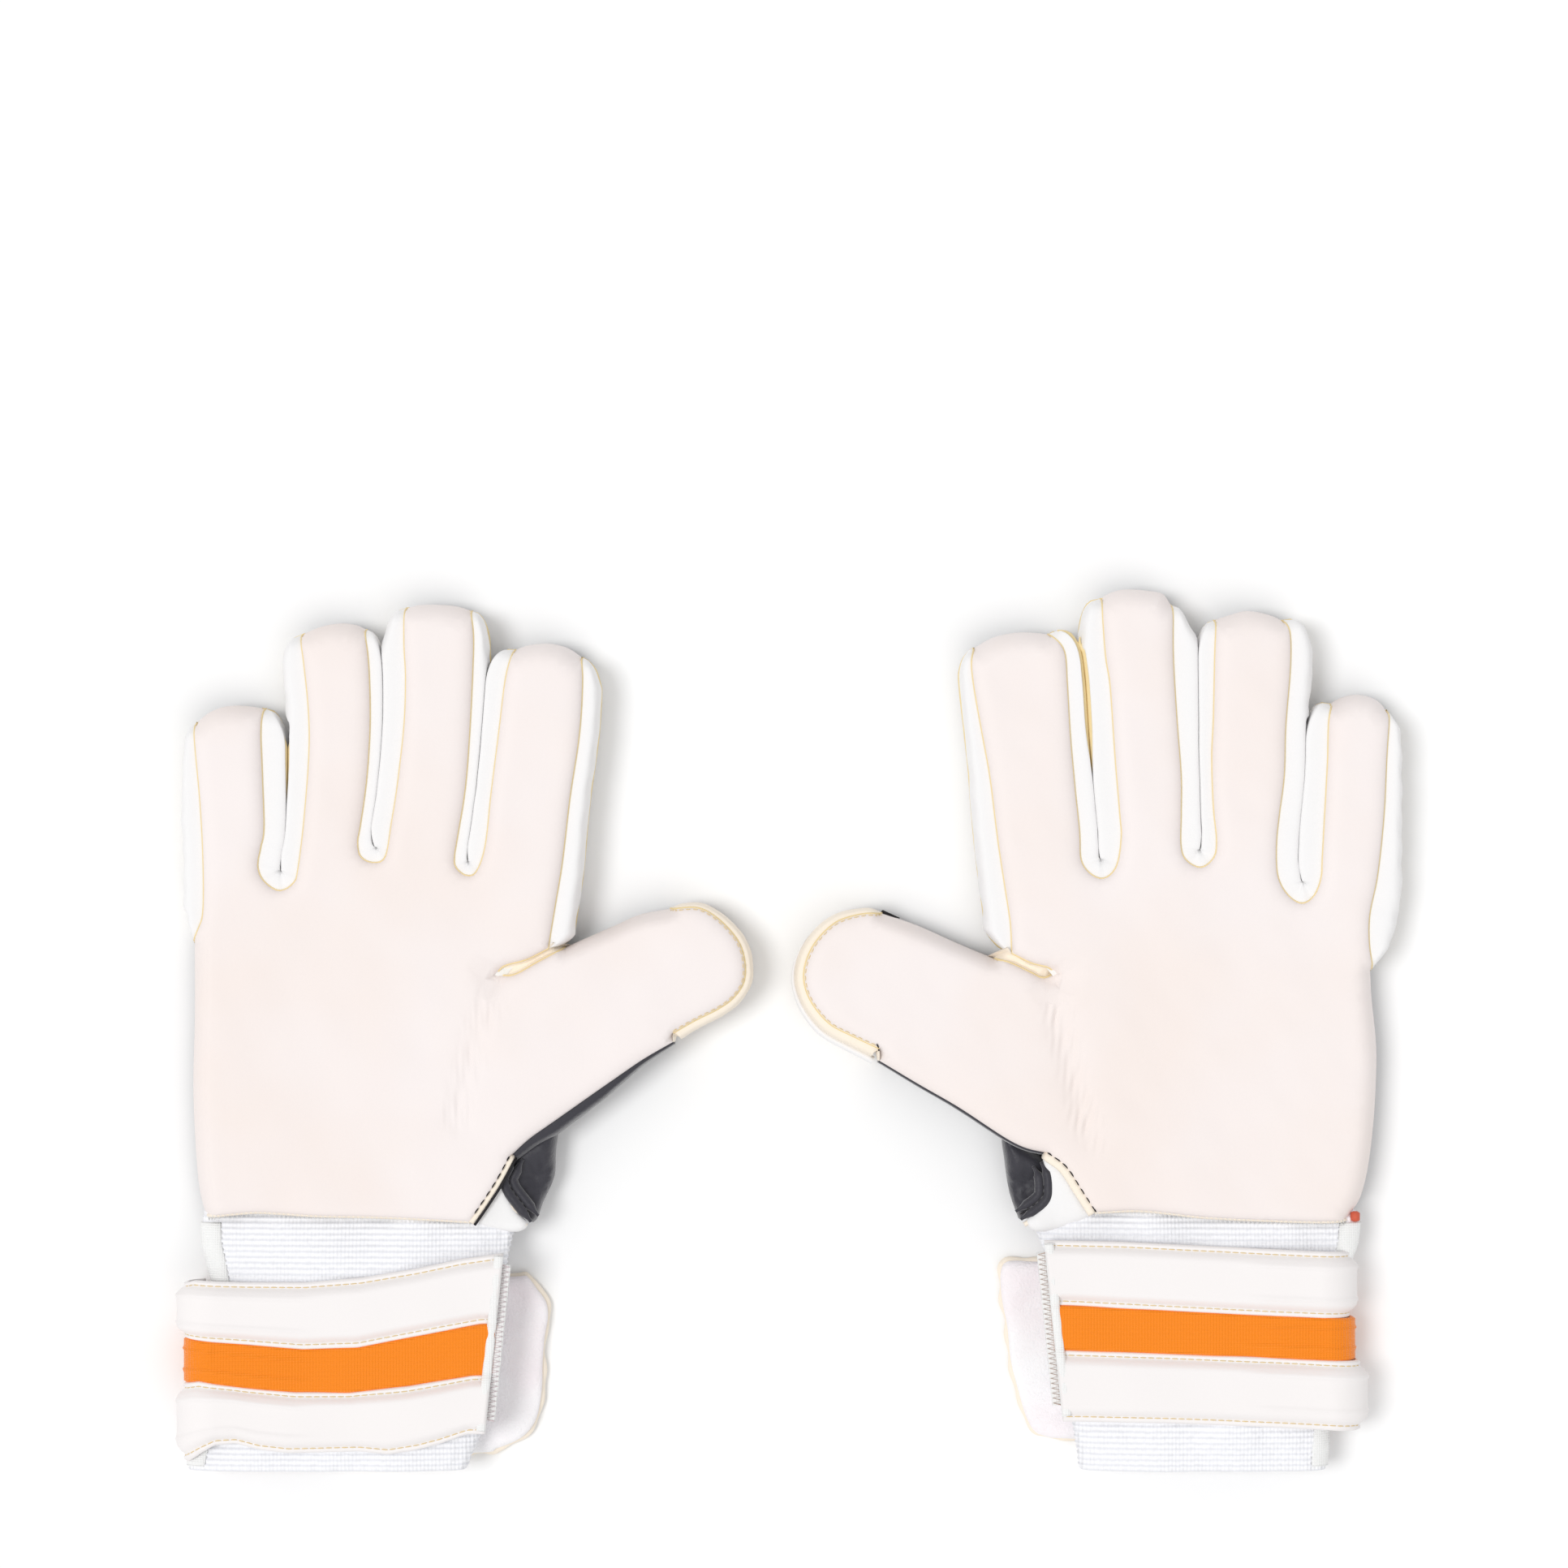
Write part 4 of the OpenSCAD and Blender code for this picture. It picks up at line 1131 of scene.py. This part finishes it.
def strap(glove):
    """The strap's front: two foam bands, the elastic between them, and the sewn end."""
    side, g = glove.side, glove.data
    parts, threads = [], []
    turns = g["strap_turn"]
    for k, name in enumerate(("upper", "lower")):
        top, bottom = g["strap"][name]
        outer, under, rows = strap_surface(g, top, bottom, turns[k], padded_profile, STRAP_COLUMNS, 61 + k)
        parts.append(slab_between(outer, under, rows, STRAP_COLUMNS))
        for j in (3, STRAP_COLUMNS - 4):
            line = outer.reshape(rows, STRAP_COLUMNS, 3)[1:98, j] + [0, 0, .1]
            threads.append(stitches(line, 2, .55, .17))
    ride(side, "strap_bands_pad", join(parts), STRAP, "strap_latex", ["strap_bands"])
    ride(side, "strap_stitches", join(threads), THREAD)
    top = [(x, y + .25) for x, y in g["strap"]["upper"][1]]
    bottom = [(x, y - .25) for x, y in g["strap"]["lower"][0]]
    outer, under, rows = strap_surface(g, top, bottom, sum(turns) / 2, flat_profile, 25, 65)
    ride(side, "strap_elastic_web", slab_between(outer, under, rows, 25), ORANGE, "orange_elastic",
         ["strap_elastic"])
    (y0, x0), (y1, x1) = g["strap_end"]
    ys = np.arange(y0 - .8, y1 + 1.2, -1)
    xs = np.interp(ys, [y1, y0], [x1, x0])
    low_upper, high_lower = g["strap"]["upper"][1][-1][1], g["strap"]["lower"][0][-1][1]
    dip = smooth((low_upper + 2 - ys) / 3) * smooth((ys - high_lower + 2) / 3)
    z = FRONT_Z + 3.1 - 1.6 * dip + .15 * np.sin(ys * .9)
    line = np.column_stack([xs - 1.3, ys, z])
    ride(side, "strap_end_tape", tube(line, 1.5, 10, .5), TAPE, "tape")
    base = np.column_stack([xs + .9, ys, np.full(len(ys), FRONT_Z + .2)])
    ride(side, "strap_end_seam", tube(base[3:-3], 1.9, 10, .35), TAPE, "tape")
    ride(side, "strap_end_overlock", overlock(base[3:-3], .8, (1.6, 0, 0), (0, 0, .75), .26),
         MAUVE if side == "right" else BROWN)


def closure(glove):
    """The closure tab behind the wrist, its elastic, and the loop patch that it grips."""
    side, g = glove.side, glove.data
    outline = loop(g["tab"])
    pile = pillow(outline, 3.2, 2, .6, reach=3.5, spacing=2.2, bumps=.25, seed=71)
    ride(side, "closure_hook_pile", pile, HOOK, "hook_pile", ["closure_hook"], "closure")
    margin = .9 + .55 * waves(outline[:, 0], outline[:, 1], 72, 9)
    grown = outline + margin[:, None] * outward_closed(outline)
    foam = pillow(grown, 1.5, 1.1, 1.3, reach=2, spacing=2.6, bumps=.1, seed=73)
    ride(side, "closure_pad_foam", foam, CREAM, "closure_latex", ["closure_pad"], "closure")
    low = hinge_x(side) + HINGE_CLEARANCE, g["strap"]["lower"][1][0][1] + 3
    high = local_box(side, "closure_elastic")[1][0], g["strap"]["upper"][0][0][1] - 3
    web = pillow(rounded(low, high, 1.5), 1.8, .8, 1.3, reach=1.5, spacing=3, bumps=.05, seed=74)
    ride(side, "closure_elastic_web", web, ORANGE, "orange_elastic", ["closure_elastic"], "closure")
    outline = rounded(*local_box(side, "loop_patch"), 3)
    pile = pillow(outline, 4.6, .5, .6, reach=1.5, spacing=2.5, bumps=.1, seed=75)
    ride(side, "loop_patch_pile", pile, LOOP, "loop_pile", ["loop_patch"])


def hinge_x(side):
    """Where the closure's hinge is in its glove's frame."""
    joints = frame["record"]["behaviour"]["joints"]
    at = next(j["pos_m"][0] for j in joints if j["name"] == side + "_closure_open")
    return (at * 1000 - origin(side)[0]) * SIDES[side]


def local_box(side, node):
    """A CAD node's lowest and highest corners in its glove's frame."""
    place = origin(side)
    low, high = (np.array(c) * 1000 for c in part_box(side + "_" + node))
    xs = sorted((c[0] - place[0]) * SIDES[side] for c in (low, high))
    return (xs[0], low[1] - place[1]), (xs[1], high[1] - place[1])


def rounded(low, high, r):
    """A rectangle with round corners, clockwise."""
    (x0, y0), (x1, y1) = np.array(low) + r, np.array(high) - r
    return np.array([(x + r * math.cos(a), y + r * math.sin(a))
                     for x, y, start in ((x0, y1, 180), (x1, y1, 90), (x1, y0, 0), (x0, y0, -90))
                     for a in np.radians(np.linspace(start, start - 90, 6))])


def lining(glove):
    """The cloth that lies under the palm's foam."""
    side = glove.side
    outline = even(np.array(LINING_PLAN + LINING_PLAN[:1], float), 2)[:-1]
    flat, faces = region(outline, [1.5], 4)
    verts = np.column_stack([flat, 17 + .3 * waves(flat[:, 0], flat[:, 1], 81, 25)])
    thing = ride(side, "palm_lining_cloth", (verts, faces), LINING, "lining", ["palm_lining"])
    a = verts[[f[0] for f in faces]], verts[[f[1] for f in faces]], verts[[f[2] for f in faces]]


for side in SIDES:
    glove = Glove(side)
    for build in (front_and_back, gussets, seams, thumb_edges, gore_and_insert, sewing, wristband, strap,
                  closure, lining):
        build(glove)

# ---- stage, light and camera -------------------------------------------------------------------


def stage():
    """A white floor and world, a soft sun from the left, and the camera above the gloves."""
    mesh = bpy.data.meshes.new("floor")
    corners = [(x, y, FLOOR_Z) for x, y in ((-3, -3), (3, -3), (3, 3), (-3, 3))]
    mesh.from_pydata(corners, [], [(0, 1, 2, 3)])
    floor = placed("floor", mesh)
    mesh.materials.append(material("floor", (250, 250, 250), .9))
    world = bpy.data.worlds.new("world")
    bpy.context.scene.world = world
    world.use_nodes = True
    world.node_tree.nodes["Background"].inputs["Color"].default_value = (1, 1, 1, 1)
    world.node_tree.nodes["Background"].inputs["Strength"].default_value = .64
    for name, at, spread, power in (("key", (-.66, .04, 1.5), 22, 1.25), ("fill", (.8, -1, 2), 40, .35)):
        light = bpy.data.lights.new(name, "SUN")
        light.angle, light.energy = math.radians(spread), power
        placed(name, light).rotation_euler = (-Vector(at)).to_track_quat("-Z", "Y").to_euler()
    camera = bpy.data.cameras.new("camera")
    camera.lens, camera.sensor_width = 114, 36
    camera.clip_start, camera.clip_end = .05, 20
    eye = placed("camera", camera)
    eye.location = (-.0012, .0786, 1.61)
    bpy.context.scene.camera = eye
    bpy.context.scene.view_settings.view_transform = "Standard"


stage()
